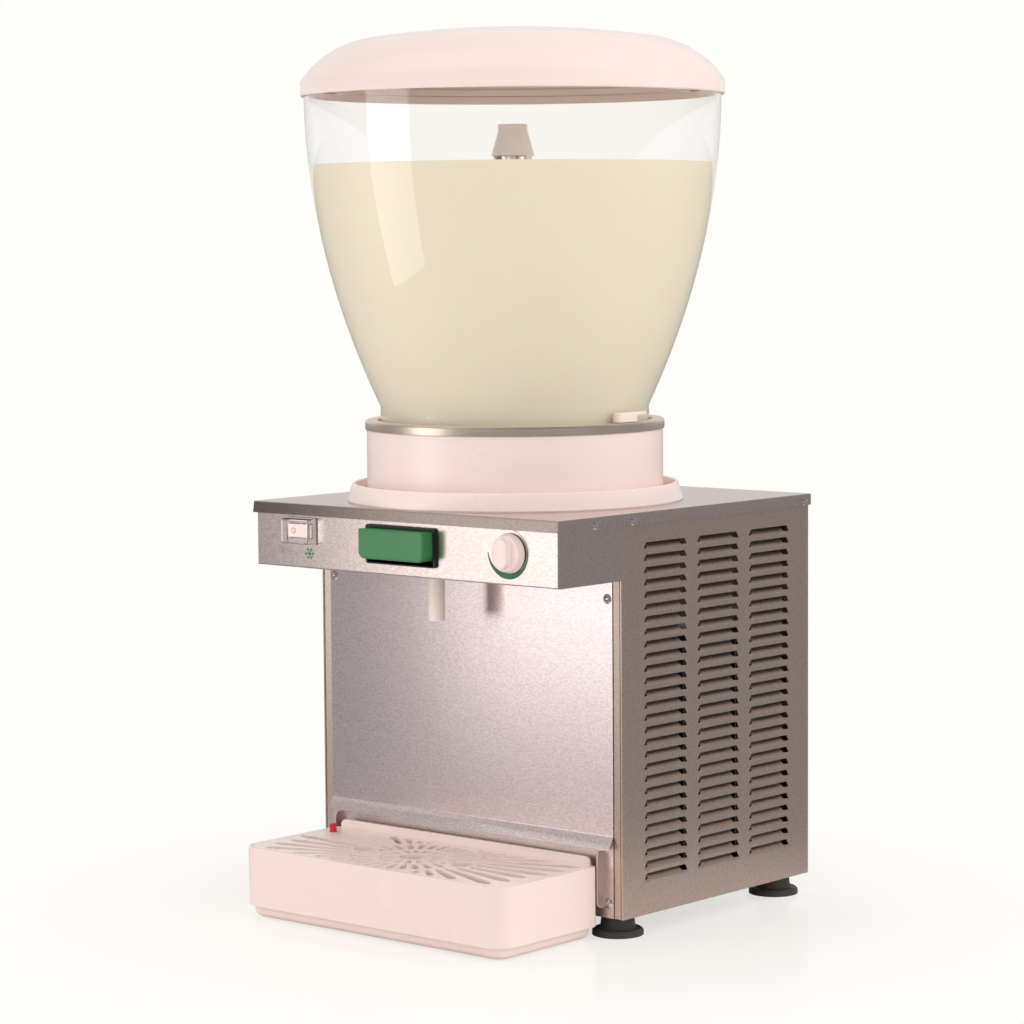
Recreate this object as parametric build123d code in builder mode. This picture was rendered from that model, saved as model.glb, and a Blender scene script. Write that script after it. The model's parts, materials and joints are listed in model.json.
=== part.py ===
from build123d import *
import os
from math import asin, cos, degrees, radians, sin, sqrt

# Cold drink dispenser with one bowl, a cooled cup under it and a drip tray in front.
# X points right, Y to the back and Z up. The origin is on the table, under the middle of the outline.

os.makedirs("parts", exist_ok=True)

# Cabinet
foot_height = 17.0
cabinet_width = 329.5
cabinet_depth = 251.0
cabinet_height = 324.7
sheet = 1.0
bend_radius = 1.2
plate_overhang = 2.0
lip_height = 9.5
return_width = 9.5
joggle_width = 12.0
pan_edge = 9.0

# Control head
head_reach = 77.0
head_height = 53.3
cheek_inset = 0.5

# Splash panel and lower front panel
panel_gap = 0.5
lower_panel_gap = 3.5
fold_height = 83.0
kick_height = 10.0
kick_reach = 6.0
ear_reach = 8.0
ear_height = 46.0
ear_low = 25.0
ear_corner = 4.8

# Louvres in the side panels
louvre_columns = 3
louvre_rows = 28
louvre_width = 58.7
louvre_rise = 7.2
louvre_depth = 4.0
louvre_column_pitch = 69.8
louvre_pitch = 9.87
louvre_top_drop = 24.8
louvre_setback = 26.0

# Rear vents
vent_rows = 10
vent_length = 90.0
vent_width = 4.0
vent_pitch = 11.0
vent_column_pitch = 110.0
vent_height = 180.0

# Feet
foot_inset_x = 22.0
foot_inset_y = 20.0
foot_radius = 20.9
foot_disc = 5.5
foot_stem_radius = 13.0
foot_cone_radius = 14.5
foot_neck_radius = 5.0
foot_barb_radius = 7.0
foot_barb_height = 4.0
foot_chamfer = 1.8

# Screws
lip_screw_drop = 6.7
lip_screw_cheek = 35.0
lip_screw_front = 12.0
lip_screw_back = 7.5
screw_radius = 1.9
screw_head_radius = 3.4
panel_head_radius = 4.2
screw_head_height = 1.9
screw_length = 9.0
splash_screw_inset = 5.0
splash_screw_drop = 15.0
lower_screw_height = 29.0
rear_screw_inset = 6.0
rear_screw_margin = 22.0

# Collar, cooled cup and bowl
bowl_setback = 63.0
collar_radius = 123.4
collar_wall = 3.0
collar_height = 59.4
gutter_radius = 140.0
gutter_rim_radius = 135.5
gutter_height = 15.0
gutter_wall = 2.4
gutter_floor = 3.0
gutter_round = 1.0
rim_radius = 124.6
rim_height = 8.0
cup_wall = 1.2
cup_radius = 114.4
cup_floor_height = 20.0
cup_seat = 5.5
cup_corner = 3.0
cup_rim_round = 1.1
gasket_height = 7.0
gasket_drop = 10.5
neck_radius = 111.7
neck_rise = 11.1
neck_depth = 21.4
bowl_wall = 3.5
bowl_rim_radius = 172.5
bowl_height = 262.3
lid_radius = 175.2
lid_wall = 2.3
lid_lap = 7.0
lid_band = 12.0
lid_shoulder_radius = 125.0
lid_shoulder_rise = 34.0
lid_crown_rise = 9.5
lid_round_reach = 32.1
lid_round_rise = 19.4
lid_seat_gap = 0.2
lid_seat_width = 3.5

# Bowl catches
catch_inner_gap = 1.2
catch_width = 9.0
catch_start_angle = -4.0
catch_height = 8.0
catch_block_angle = 9.5
catch_arm_angle = 7.5
catch_arm_height = 3.0
catch_arm_width = 5.0
catch_pin_radius = 1.6

# Stirrer and its drive
standpipe_radius = 6.5
standpipe_wall = 1.5
standpipe_height = 285.0
shaft_radius = 3.0
bush_length = 12.0
hub_top_radius = 12.3
hub_foot_radius = 18.0
hub_height = 26.0
hub_cap = 6.0
stirrer_leg_width = 7.0
stirrer_leg_depth = 3.0
paddle_radius = 95.0
paddle_height = 18.0
paddle_thickness = 3.0
motor_width = 66.0
motor_corner = 6.6
motor_radius = 29.7
motor_height = 46.0
gearbox_height = 20.0
gearbox_socket = 14.0
mixer_bracket_drop = 10.0

# Outlet and pinch valve
spout_reach = 36.0
spout_radius = 6.7
spout_bore = 4.6
spout_drop = 39.6
nipple_radius = 6.0
nipple_bore = 4.5
nipple_drop = 12.0
cuff_radius = 8.2
pinch_height = 12.0
pinch_half_height = 2.5
pinch_width = 9.0
pinch_thickness = 2.4
pinch_taper = 8.0
anvil_width = 17.0
anvil_top = 18.5

# Handle and lever
handle_width = 70.0
handle_height = 24.1
handle_reach = 14.6
handle_inside = 3.0
handle_top_drop = 15.5
handle_corner = 6.0
bezel_side_gap = 0.6
bezel_top_gap = 0.5
bezel_low_gap = 3.8
bezel_wall = 0.8
bezel_flange = 1.6
bezel_low_flange = 0.4
bezel_corner = 2.6
bezel_proud = 2.5
bezel_depth = 8.0
lever_arm_inner = 10.5
lever_arm_width = 4.0
lever_pivot_ahead = 15.0
lever_pivot_drop = 10.5
lever_hub_radius = 5.0
lever_pin_radius = 2.0
shank_width = 24.0
shank_drop = 20.0
shank_height = 11.0
lever_bar = 5.0
bracket_sheet = 2.0
bracket_gap = 3.5
bracket_below_pivot = 7.5
spring_width = 12.0
spring_sheet = 0.8
spring_length = 13.0

# Switch and thermostat
switch_offset = 111.9
switch_drop = 22.4
switch_width = 34.0
switch_height = 22.4
switch_flange = 1.6
switch_rim = 2.6
switch_depth = 24.0
rocker_gap = 0.5
rocker_proud = 3.4
rocker_hollow = 1.2
rocker_depth = 6.0
cover_height = 8.0
cover_wall = 0.8
knob_offset = 115.1
knob_drop = 27.8
knob_radius = 16.0
knob_taper = 22.0
knob_skirt = 6.0
knob_grip_width = 13.0
knob_grip_length = 24.0
knob_grip_height = 6.5
knob_edge = 1.0
knob_gap = 1.0
thermostat_width = 46.0
thermostat_height = 26.0
thermostat_depth = 30.0
thermostat_neck = 5.0
thermostat_shaft_radius = 3.0

# Drip tray, grille and float
tray_reach = 123.6
tray_gap = 6.0
tray_width = 286.6
tray_height = 59.0
tray_lift = 0.6
tray_corner = 18.0
tray_wall = 3.0
tray_floor = 3.0
tray_base_height = 10.0
tray_base_inset = 5.0
tray_base_round = 6.0
tray_ledge = 3.0
tray_peg_radius = 4.0
tray_peg_offset = 100.0
tray_peg_height = 40.0
tray_peg_tip = 3.0
upstand_inset = 6.5
upstand_rise = 7.0
upstand_corner = 5.0
grille_thickness = 4.0
grille_fit = 0.5
grille_margin = 4.5
grille_centre = 68.0
grille_hole_radius = 11.0
finger_hole_radius = 9.0
finger_hole_offset = 53.5
grille_ring_gap = 4.0
grille_ring_lengths = (13.5, 19.7)
grille_ring_counts = (16, 28)
grille_outer_count = 44
grille_slot_share = 0.56
grille_slot_nose = 0.125
grille_slot_tip = 0.35
grille_corner_room = 7.0
float_offset = 127.5
float_setback = 28.5
float_width = 6.0
float_proud = 7.0
float_gap = 0.6
float_round = 1.0
float_clear_x = 30.0
float_clear_y = 18.0

# Refrigeration and electrics
compressor_radius = 60.0
compressor_height = 150.0
compressor_dome = 34.0
compressor_x = -70.0
compressor_setback = 90.0
grommet_radius = 9.0
grommet_height = 12.0
compressor_plate = 3.0
stub_radius = 4.5
stub_length = 10.0
discharge_offset = 37.8
discharge_rise = 105.0
suction_rise = 82.5
condenser_depth = 44.0
condenser_width = 165.0
condenser_height = 196.0
condenser_wall_gap = 12.0
condenser_setback = 30.0
fin_count = 22
fin_thickness = 0.8
tube_runs = 6
tube_radius = 4.0
tube_pitch = 30.0
tube_bend = 13.5
shroud_depth = 16.0
fan_radius = 66.0
fan_gap = 4.0
fan_hub_radius = 17.0
fan_hub_length = 18.0
fan_blade_count = 5
fan_blade_thickness = 2.0
fan_blade_angle = 28.0
fan_shaft_radius = 2.5
fan_motor_radius = 28.0
fan_motor_length = 40.0
fan_motor_gap = 5.0
coil_tube_radius = 3.2
coil_inner_radius = 52.0
coil_pitch = 10.0
coil_turns = 3
coil_bend = 8.0
coil_bend_radius = 7.2
coil_tail = 20.0
pipe_radius = 3.2
capillary_radius = 1.5
pipe_bend = 10.0
drier_radius = 11.0
drier_length = 78.0
terminal_width = 44.0
terminal_depth = 18.0
terminal_height = 22.0
terminal_hole_radius = 3.6
inlet_width = 50.0
inlet_height = 28.0
inlet_depth = 18.0
inlet_flange = 1.6
inlet_rise = 62.0
inlet_corner = 4.7
inlet_pin_rise = 3.6

# Clearances
running_gap = 0.05
slide_gap = 0.3

# Datums
depth_overall = tray_reach + cabinet_depth + plate_overhang
back_y = depth_overall / 2 - plate_overhang
front_y = back_y - cabinet_depth
head_front_y = front_y - head_reach
side_x = cabinet_width / 2
inner_x = side_x - sheet
pan_low = foot_height
pan_top = pan_low + sheet
plate_top = foot_height + cabinet_height
plate_low = plate_top - sheet
head_low = plate_top - head_height
head_floor = head_low + sheet
head_inner_y = head_front_y + sheet
bowl_y = front_y + bowl_setback
spout_y = front_y - spout_reach
bowl_axis = Axis((0, bowl_y, 0), (0, 0, 1))
bowl_plane = Plane(origin=(0, bowl_y, 0), x_dir=(1, 0, 0), z_dir=(0, -1, 0))
side_plane = Plane(origin=(side_x, 0, 0), x_dir=(0, 1, 0), z_dir=(1, 0, 0))
section_plane = Plane.YZ
both_sides = (-1, 1)
on_base = (Align.CENTER, Align.CENTER, Align.MIN)


def block(x, y, z, mode=Mode.ADD):
    """Box between a low and a high limit along X, Y and Z."""
    limits = (x, y, z)
    with Locations(tuple((low + high) / 2 for low, high in limits)):
        Box(*(high - low for low, high in limits), mode=mode)


def rod(start, end, radius, mode=Mode.ADD):
    """Round bar from one point to another."""
    along = Vector(*end) - Vector(*start)
    with Locations(Plane(origin=start, z_dir=along)):
        Cylinder(radius, along.length, align=on_base, mode=mode)


def dome_screw(seat, outward, head_radius):
    """Dome-head screw whose head sits on the seat point and faces outward."""
    dome = (head_radius**2 + screw_head_height**2) / (2 * screw_head_height)
    cap_angle = degrees(asin((dome - screw_head_height) / dome))
    with Locations(Plane(origin=seat, z_dir=outward)):
        Sphere(dome, arc_size1=cap_angle, arc_size2=90, align=on_base)
    rod(seat, Vector(*seat) - Vector(*outward) * screw_length, screw_radius)


def screw_hole(seat, outward):
    """Clearance hole for a screw through whatever lies around the seat point."""
    reach = Vector(*outward) * screw_length
    rod(Vector(*seat) - reach, Vector(*seat) + reach, screw_radius, Mode.SUBTRACT)


# Places of the screws
lip_x = side_x + plate_overhang
lip_screw_z = plate_top - lip_screw_drop
lip_screw_ys = (front_y - lip_screw_cheek, front_y + lip_screw_front, back_y - lip_screw_back)
splash_x = side_x - return_width - panel_gap
front_screw_x = splash_x - splash_screw_inset
splash_screw_z = head_low - splash_screw_drop
rear_screw_x = inner_x - rear_screw_inset
rear_screw_zs = (pan_low + rear_screw_margin, plate_top - rear_screw_margin)
foot_places = [
    (side * (side_x - foot_inset_x), y)
    for side in both_sides
    for y in (front_y + foot_inset_y, back_y - foot_inset_y)
]

# Floor pan with upturned edges
pan_front = front_y + 2 * sheet
pan_back = back_y - 2 * sheet
with BuildPart() as floor_pan:
    block((-inner_x, inner_x), (pan_front, pan_back), (pan_low, pan_low + pan_edge))
    block(
        (-inner_x + sheet, inner_x - sheet),
        (pan_front + sheet, pan_back - sheet),
        (pan_top, pan_low + pan_edge),
        Mode.SUBTRACT,
    )
    for x, y in foot_places:
        rod((x, y, pan_low), (x, y, pan_top), foot_neck_radius, Mode.SUBTRACT)
floor_pan.part.label = "floor_pan"
export_step(floor_pan.part, "parts/floor_pan.step")

# Push-in feet: disc, cone and a barbed neck through the pan
with BuildPart() as feet:
    for x, y in foot_places:
        rod((x, y, 0), (x, y, foot_disc), foot_radius)
        with Locations((x, y, foot_disc)):
            Cone(foot_cone_radius, foot_stem_radius, pan_low - foot_disc, align=on_base)
        rod((x, y, pan_low), (x, y, pan_top), foot_neck_radius)
        rod((x, y, pan_top), (x, y, pan_top + foot_barb_height), foot_barb_radius)
    disc_edges = feet.edges().filter_by(GeomType.CIRCLE).group_by(Axis.Z)[1]
    chamfer(disc_edges.filter_by(lambda edge: edge.radius > foot_cone_radius + foot_chamfer), foot_chamfer)
feet.part.label = "feet"
export_step(feet.part, "parts/feet.step")

# Side panels: sheet, joggled front return, rear return and pressed louvres
louvre_mid_y = front_y + louvre_setback + louvre_width / 2 + louvre_column_pitch * (louvre_columns - 1) / 2
louvre_mid_z = plate_top - louvre_top_drop - louvre_rise / 2 - louvre_pitch * (louvre_rows - 1) / 2
joggle_x = side_x - return_width - joggle_width
half_rise = louvre_rise / 2
louvre_tongue = [
    (0, -half_rise),
    (-louvre_depth, half_rise),
    (-louvre_depth - sheet, half_rise),
    (-sheet, -half_rise),
]
louvre_cheek = [(0, -half_rise), (0, half_rise), (-louvre_depth, half_rise)]
louvre_column_ys = [
    louvre_mid_y + louvre_column_pitch * (column - (louvre_columns - 1) / 2) - louvre_width / 2
    for column in range(louvre_columns)
]

with BuildPart() as right_side_panel:
    block((inner_x, side_x), (front_y, back_y), (pan_low, plate_low))
    block((side_x - return_width, side_x), (front_y, front_y + sheet), (pan_low, plate_low))
    front_bend = right_side_panel.edges().filter_by(Axis.Z).group_by(Axis.Y)[0].sort_by(Axis.X)[-1]
    fillet(front_bend, bend_radius)
    joggle_y = (front_y + sheet, front_y + 2 * sheet)
    block((joggle_x, side_x - return_width + sheet), joggle_y, (pan_low, head_low))
    rear_flange_y = (back_y - 2 * sheet, back_y - sheet)
    block((inner_x - 2 * rear_screw_inset, side_x), rear_flange_y, (pan_low, plate_low))
    with BuildSketch(side_plane):
        with Locations((louvre_mid_y, louvre_mid_z)):
            with GridLocations(louvre_column_pitch, louvre_pitch, louvre_columns, louvre_rows):
                Rectangle(louvre_width, louvre_rise)
    extrude(amount=-sheet, mode=Mode.SUBTRACT)
    for column_y in louvre_column_ys:
        end_planes = [(column_y, louvre_width, louvre_tongue), (column_y, sheet, louvre_cheek)]
        end_planes.append((column_y + louvre_width - sheet, sheet, louvre_cheek))
        for start_y, length, outline in end_planes:
            louvre_plane = Plane(origin=(side_x, start_y, louvre_mid_z), x_dir=(1, 0, 0), z_dir=(0, -1, 0))
            with BuildSketch(louvre_plane):
                with GridLocations(louvre_pitch, louvre_pitch, 1, louvre_rows):
                    Polygon(*outline, align=None)
            extrude(amount=-length)
    for screw_y in lip_screw_ys[1:]:
        screw_hole((side_x, screw_y, lip_screw_z), (1, 0, 0))
    for screw_z in (splash_screw_z, lower_screw_height):
        screw_hole((front_screw_x, front_y, screw_z), (0, -1, 0))
    for screw_z in rear_screw_zs:
        screw_hole((rear_screw_x, back_y, screw_z), (0, 1, 0))
right_side_panel.part.label = "right_side_panel"
export_step(right_side_panel.part, "parts/right_side_panel.step")

with BuildPart() as left_side_panel:
    mirror(right_side_panel.part, about=Plane.YZ)
left_side_panel.part.label = "left_side_panel"
export_step(left_side_panel.part, "parts/left_side_panel.step")

# Rear panel with vent slots and the inlet's cut-out
inlet_x = -side_x / 2
inlet_z = pan_low + inlet_rise
with BuildPart() as rear_panel:
    block((-inner_x, inner_x), (back_y - sheet, back_y), (pan_low, plate_low))
    with BuildSketch(Plane(origin=(0, back_y, vent_height), x_dir=(-1, 0, 0), z_dir=(0, 1, 0))):
        with GridLocations(vent_column_pitch, vent_pitch, 2, vent_rows):
            SlotOverall(vent_length, vent_width)
    extrude(amount=-sheet, mode=Mode.SUBTRACT)
    block(
        (inlet_x - inlet_width / 2 + 4 * inlet_flange, inlet_x + inlet_width / 2 - 4 * inlet_flange),
        (back_y - sheet, back_y),
        (inlet_z - inlet_height / 2 + 2 * inlet_flange, inlet_z + inlet_height / 2 - 2 * inlet_flange),
        Mode.SUBTRACT,
    )
    for side in both_sides:
        for screw_z in rear_screw_zs:
            screw_hole((side * rear_screw_x, back_y, screw_z), (0, 1, 0))
rear_panel.part.label = "rear_panel"
export_step(rear_panel.part, "parts/rear_panel.step")

# Top plate with a lip folded down all round
coil_end_radius = coil_inner_radius + coil_pitch * coil_turns
coil_drops = [(-coil_inner_radius, bowl_y + coil_bend), (-coil_end_radius, bowl_y - coil_bend)]
plate_front_y = head_front_y - plate_overhang
plate_back_y = back_y + plate_overhang
with BuildPart() as top_plate:
    block((-lip_x, lip_x), (plate_front_y, plate_back_y), (plate_top - lip_height, plate_top))
    fillet(top_plate.edges().group_by(Axis.Z)[-1] + top_plate.edges().filter_by(Axis.Z), bend_radius)
    block(
        (-lip_x + sheet, lip_x - sheet),
        (plate_front_y + sheet, plate_back_y - sheet),
        (plate_top - lip_height, plate_low),
        Mode.SUBTRACT,
    )
    rod((0, spout_y, plate_low), (0, spout_y, plate_top), nipple_radius, Mode.SUBTRACT)
    rod((0, bowl_y, plate_low), (0, bowl_y, plate_top), shaft_radius + slide_gap, Mode.SUBTRACT)
    for x, y in coil_drops:
        rod((x, y, plate_low), (x, y, plate_top), coil_tube_radius, Mode.SUBTRACT)
    for side in both_sides:
        for screw_y in lip_screw_ys:
            screw_hole((side * lip_x, screw_y, lip_screw_z), (side, 0, 0))
top_plate.part.label = "top_plate"
export_step(top_plate.part, "parts/top_plate.step")

# Control head: folded front, cheeks and floor, open to the cabinet
cheek_x = side_x - cheek_inset
handle_top = plate_top - handle_top_drop
handle_low = handle_top - handle_height
window_x = handle_width / 2 + bezel_side_gap
window_top = handle_top + bezel_top_gap
window_low = handle_low - bezel_low_gap
switch_x = -switch_offset
switch_z = plate_top - switch_drop
knob_x = knob_offset
knob_z = plate_top - knob_drop
switch_hole_x = switch_width / 2 - switch_rim
switch_hole_z = switch_height / 2 - switch_rim
with BuildPart() as control_head:
    block((-cheek_x, cheek_x), (head_front_y, front_y), (head_low, plate_low))
    front_edges = control_head.edges().group_by(Axis.Y)[0]
    fillet(front_edges.filter_by(Axis.Z) + front_edges.filter_by(Axis.X).sort_by(Axis.Z)[:1], bend_radius)
    head_inside = (-cheek_x + sheet, cheek_x - sheet)
    block(head_inside, (head_inner_y, front_y), (head_floor, plate_low), Mode.SUBTRACT)
    block(
        (-window_x - bezel_wall, window_x + bezel_wall),
        (head_front_y, head_inner_y),
        (window_low - bezel_wall, window_top + bezel_wall),
        Mode.SUBTRACT,
    )
    block(
        (switch_x - switch_hole_x, switch_x + switch_hole_x),
        (head_front_y, head_inner_y),
        (switch_z - switch_hole_z, switch_z + switch_hole_z),
        Mode.SUBTRACT,
    )
    rod((knob_x, head_front_y, knob_z), (knob_x, head_inner_y, knob_z), thermostat_neck, Mode.SUBTRACT)
    rod((0, spout_y, head_low), (0, spout_y, head_floor), spout_radius + slide_gap, Mode.SUBTRACT)
    for side in both_sides:
        screw_hole((side * cheek_x, lip_screw_ys[0], lip_screw_z), (side, 0, 0))
control_head.part.label = "control_head"
export_step(control_head.part, "parts/control_head.step")

# Splash panel with its lower edge kicked forward
kick_low = fold_height - kick_height
splash_outline = [
    (front_y, head_low - panel_gap),
    (front_y, fold_height),
    (front_y - kick_reach, kick_low),
    (front_y - kick_reach + sheet, kick_low),
    (front_y + sheet, fold_height),
    (front_y + sheet, head_low - panel_gap),
]
with BuildPart() as splash_panel:
    with BuildSketch(section_plane):
        with BuildLine():
            Polyline(*splash_outline, close=True)
        make_face()
    extrude(amount=splash_x, both=True)
    for side in both_sides:
        screw_hole((side * front_screw_x, front_y, splash_screw_z), (0, -1, 0))
splash_panel.part.label = "splash_panel"
export_step(splash_panel.part, "parts/splash_panel.step")

# Lower front panel with two ears that flank the drip tray
ear_x = tray_width / 2 + panel_gap
with BuildPart() as lower_front_panel:
    block((-splash_x, splash_x), (front_y, front_y + sheet), (pan_low, fold_height - lower_panel_gap))
    for side in both_sides:
        near, far = sorted((side * ear_x, side * (ear_x + sheet)))
        block((near, far), (front_y - ear_reach, front_y), (ear_low, ear_low + ear_height))
    ear_corners = lower_front_panel.edges().filter_by(Axis.X).group_by(Axis.Y)[0]
    fillet(ear_corners, ear_corner)
    for side in both_sides:
        screw_hole((side * front_screw_x, front_y, lower_screw_height), (0, -1, 0))
        peg_x = side * tray_peg_offset
        rod(
            (peg_x, front_y, tray_peg_height),
            (peg_x, front_y + sheet, tray_peg_height),
            tray_peg_radius + running_gap,
            Mode.SUBTRACT,
        )
lower_front_panel.part.label = "lower_front_panel"
export_step(lower_front_panel.part, "parts/lower_front_panel.step")

# Screws
with BuildPart() as lip_screws:
    for side in both_sides:
        for screw_y in lip_screw_ys:
            dome_screw((side * lip_x, screw_y, lip_screw_z), (side, 0, 0), screw_head_radius)
lip_screws.part.label = "lip_screws"
export_step(lip_screws.part, "parts/lip_screws.step")

with BuildPart() as panel_screws:
    for side in both_sides:
        dome_screw((side * front_screw_x, front_y, splash_screw_z), (0, -1, 0), panel_head_radius)
        dome_screw((side * front_screw_x, front_y, lower_screw_height), (0, -1, 0), panel_head_radius)
        for screw_z in rear_screw_zs:
            dome_screw((side * rear_screw_x, back_y, screw_z), (0, 1, 0), panel_head_radius)
panel_screws.part.label = "panel_screws"
export_step(panel_screws.part, "parts/panel_screws.step")

# Collar with a drip gutter round its foot
rim_top = plate_top + collar_height + rim_height
collar_inner = collar_radius - collar_wall
collar_outline = [
    (collar_inner, plate_top),
    (gutter_radius, plate_top),
    (gutter_rim_radius, plate_top + gutter_height),
    (gutter_rim_radius - gutter_wall, plate_top + gutter_height),
    (gutter_rim_radius - gutter_wall, plate_top + gutter_floor),
    (collar_radius, plate_top + gutter_floor),
    (collar_radius, rim_top - cup_wall),
    (collar_inner, rim_top - cup_wall),
]
with BuildPart() as collar:
    with BuildSketch(bowl_plane):
        with BuildLine():
            Polyline(*collar_outline, close=True)
        make_face()
    revolve(axis=bowl_axis)
    gutter_top = plate_top + gutter_height
    gutter_band = (gutter_top - gutter_round, gutter_top + gutter_round)
    fillet(collar.edges().filter_by_position(Axis.Z, *gutter_band), gutter_round)
collar.part.label = "collar"
export_step(collar.part, "parts/collar.step")

# Cooled cup with a rolled rim that caps the collar
cup_floor_low = plate_top + cup_floor_height
cup_floor_top = cup_floor_low + cup_wall
rim_inner = collar_radius
seat_z = rim_top - neck_depth
well_radius = cup_radius - cup_seat
cup_outline = [
    (standpipe_radius, cup_floor_low),
    (well_radius + cup_wall - cup_corner, cup_floor_low),
    (well_radius + cup_wall, cup_floor_low + cup_corner),
    (well_radius + cup_wall, seat_z - cup_wall),
    (cup_radius + cup_wall, seat_z - cup_wall),
    (cup_radius + cup_wall, rim_top - cup_wall),
    (rim_inner, rim_top - cup_wall),
    (rim_inner, rim_top - rim_height),
    (rim_radius, rim_top - rim_height),
    (rim_radius, rim_top),
    (cup_radius, rim_top),
    (cup_radius, seat_z),
    (well_radius, seat_z),
    (well_radius, cup_floor_top + cup_corner - cup_wall / 2),
    (well_radius + cup_wall / 2 - cup_corner, cup_floor_top),
    (standpipe_radius, cup_floor_top),
]
catch_radius = neck_radius + catch_inner_gap + catch_width / 2
catch_pin_x = catch_radius * cos(radians(catch_start_angle))
catch_pin_y = bowl_y + catch_radius * sin(radians(catch_start_angle))
with BuildPart() as evaporator_cup:
    with BuildSketch(bowl_plane):
        with BuildLine():
            Polyline(*cup_outline, close=True)
        make_face()
    revolve(axis=bowl_axis)
    rim_edges = evaporator_cup.edges().filter_by(GeomType.CIRCLE).group_by(Axis.Z)[-1]
    fillet(rim_edges.sort_by(lambda edge: edge.radius)[-1], cup_rim_round)
    rod((0, spout_y, cup_floor_low), (0, spout_y, cup_floor_top), nipple_radius, Mode.SUBTRACT)
    for side in both_sides:
        pin_x = side * catch_pin_x
        rod(
            (pin_x, catch_pin_y, rim_top - cup_wall),
            (pin_x, catch_pin_y, rim_top),
            catch_pin_radius,
            Mode.SUBTRACT,
        )
evaporator_cup.part.label = "evaporator_cup"
export_step(evaporator_cup.part, "parts/evaporator_cup.step")

# Insulation under the cup and round its wall
coil_z = cup_floor_low - coil_tube_radius
slab_top = coil_z - coil_tube_radius
foam_radius = collar_inner - slide_gap
foam_outline = [
    (standpipe_radius + slide_gap, plate_top),
    (foam_radius, plate_top),
    (foam_radius, rim_top - rim_height),
    (cup_radius + cup_wall + slide_gap, rim_top - rim_height),
    (cup_radius + cup_wall + slide_gap, slab_top),
    (standpipe_radius + slide_gap, slab_top),
]
with BuildPart() as collar_insulation:
    with BuildSketch(bowl_plane):
        with BuildLine():
            Polyline(*foam_outline, close=True)
        make_face()
    revolve(axis=bowl_axis)
    rod((0, spout_y, plate_top), (0, spout_y, slab_top), nipple_radius + slide_gap, Mode.SUBTRACT)
    for x, y in coil_drops:
        rod((x, y, plate_top), (x, y, slab_top), coil_tube_radius + slide_gap, Mode.SUBTRACT)
        block(
            (x - 2 * coil_tube_radius, x + 2 * coil_tube_radius),
            (bowl_y - 2 * coil_bend, bowl_y + 2 * coil_bend),
            (slab_top - coil_bend, slab_top),
            Mode.SUBTRACT,
        )
collar_insulation.part.label = "collar_insulation"
export_step(collar_insulation.part, "parts/collar_insulation.step")

# Flat spiral coil under the cup, both ends turned down through the plate
coil_tail_z = plate_low - coil_tail
(coil_in_x, coil_in_y), (coil_out_x, coil_out_y) = coil_drops
coil_ends = [coil_inner_radius + coil_pitch * step / 2 for step in range(2 * coil_turns + 1)]
with BuildPart() as evaporator_coil:
    with BuildLine():
        FilletPolyline(
            (coil_in_x, coil_in_y, coil_tail_z),
            (coil_in_x, coil_in_y, coil_z),
            (coil_in_x, bowl_y, coil_z),
            radius=coil_bend_radius,
        )
        for step, (near, far) in enumerate(zip(coil_ends, coil_ends[1:])):
            toward = -1 if step % 2 == 0 else 1
            bulge = bowl_y + toward * (near + far) / 2
            middle = -toward * (near - far) / 2
            ThreePointArc(
                (toward * near, bowl_y, coil_z),
                (middle, bulge, coil_z),
                (-toward * far, bowl_y, coil_z),
            )
        FilletPolyline(
            (coil_out_x, bowl_y, coil_z),
            (coil_out_x, coil_out_y, coil_z),
            (coil_out_x, coil_out_y, coil_tail_z),
            radius=coil_bend_radius,
        )
    with BuildSketch(Plane(origin=(coil_in_x, coil_in_y, coil_tail_z), z_dir=(0, 0, 1))):
        Circle(coil_tube_radius)
    sweep()
evaporator_coil.part.label = "evaporator_coil"
export_step(evaporator_coil.part, "parts/evaporator_coil.step")

# Standpipe that carries the stirrer's shaft above the drink, with a bush at each end
standpipe_top = plate_top + standpipe_height
pipe_bore = standpipe_radius - standpipe_wall
with BuildPart() as standpipe:
    rod((0, bowl_y, plate_top), (0, bowl_y, standpipe_top), standpipe_radius)
    rod((0, bowl_y, plate_top), (0, bowl_y, standpipe_top), pipe_bore, Mode.SUBTRACT)
standpipe.part.label = "standpipe"
export_step(standpipe.part, "parts/standpipe.step")

with BuildPart() as shaft_bushes:
    for bush_low in (plate_top, standpipe_top - bush_length):
        rod((0, bowl_y, bush_low), (0, bowl_y, bush_low + bush_length), pipe_bore)
        rod(
            (0, bowl_y, bush_low),
            (0, bowl_y, bush_low + bush_length),
            shaft_radius + running_gap,
            Mode.SUBTRACT,
        )
shaft_bushes.part.label = "shaft_bushes"
export_step(shaft_bushes.part, "parts/shaft_bushes.step")

# Bowl: a wall that flares to the rim on an open neck ring
neck_top = rim_top + neck_rise
bowl_rim_z = neck_top + bowl_height
flare_z = neck_top + bowl_height / 2
neck_bore = neck_radius - bowl_wall
bowl_bore = bowl_rim_radius - bowl_wall
with BuildPart() as bowl:
    with BuildSketch(bowl_plane):
        with BuildLine():
            Bezier((neck_radius, neck_top), (bowl_rim_radius, flare_z), (bowl_rim_radius, bowl_rim_z))
            Line((bowl_rim_radius, bowl_rim_z), (bowl_bore, bowl_rim_z))
            Bezier((bowl_bore, bowl_rim_z), (bowl_bore, flare_z), (neck_bore, neck_top))
            Line((neck_bore, neck_top), (neck_radius, neck_top))
        make_face()
    revolve(axis=bowl_axis)
bowl.part.label = "bowl"
export_step(bowl.part, "parts/bowl.step")

with BuildPart() as bowl_neck:
    neck_foot = (0, bowl_y, seat_z)
    neck_head = (0, bowl_y, neck_top)
    rod(neck_foot, neck_head, neck_radius)
    rod(neck_foot, neck_head, neck_bore, Mode.SUBTRACT)
bowl_neck.part.label = "bowl_neck"
export_step(bowl_neck.part, "parts/bowl_neck.step")

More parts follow.
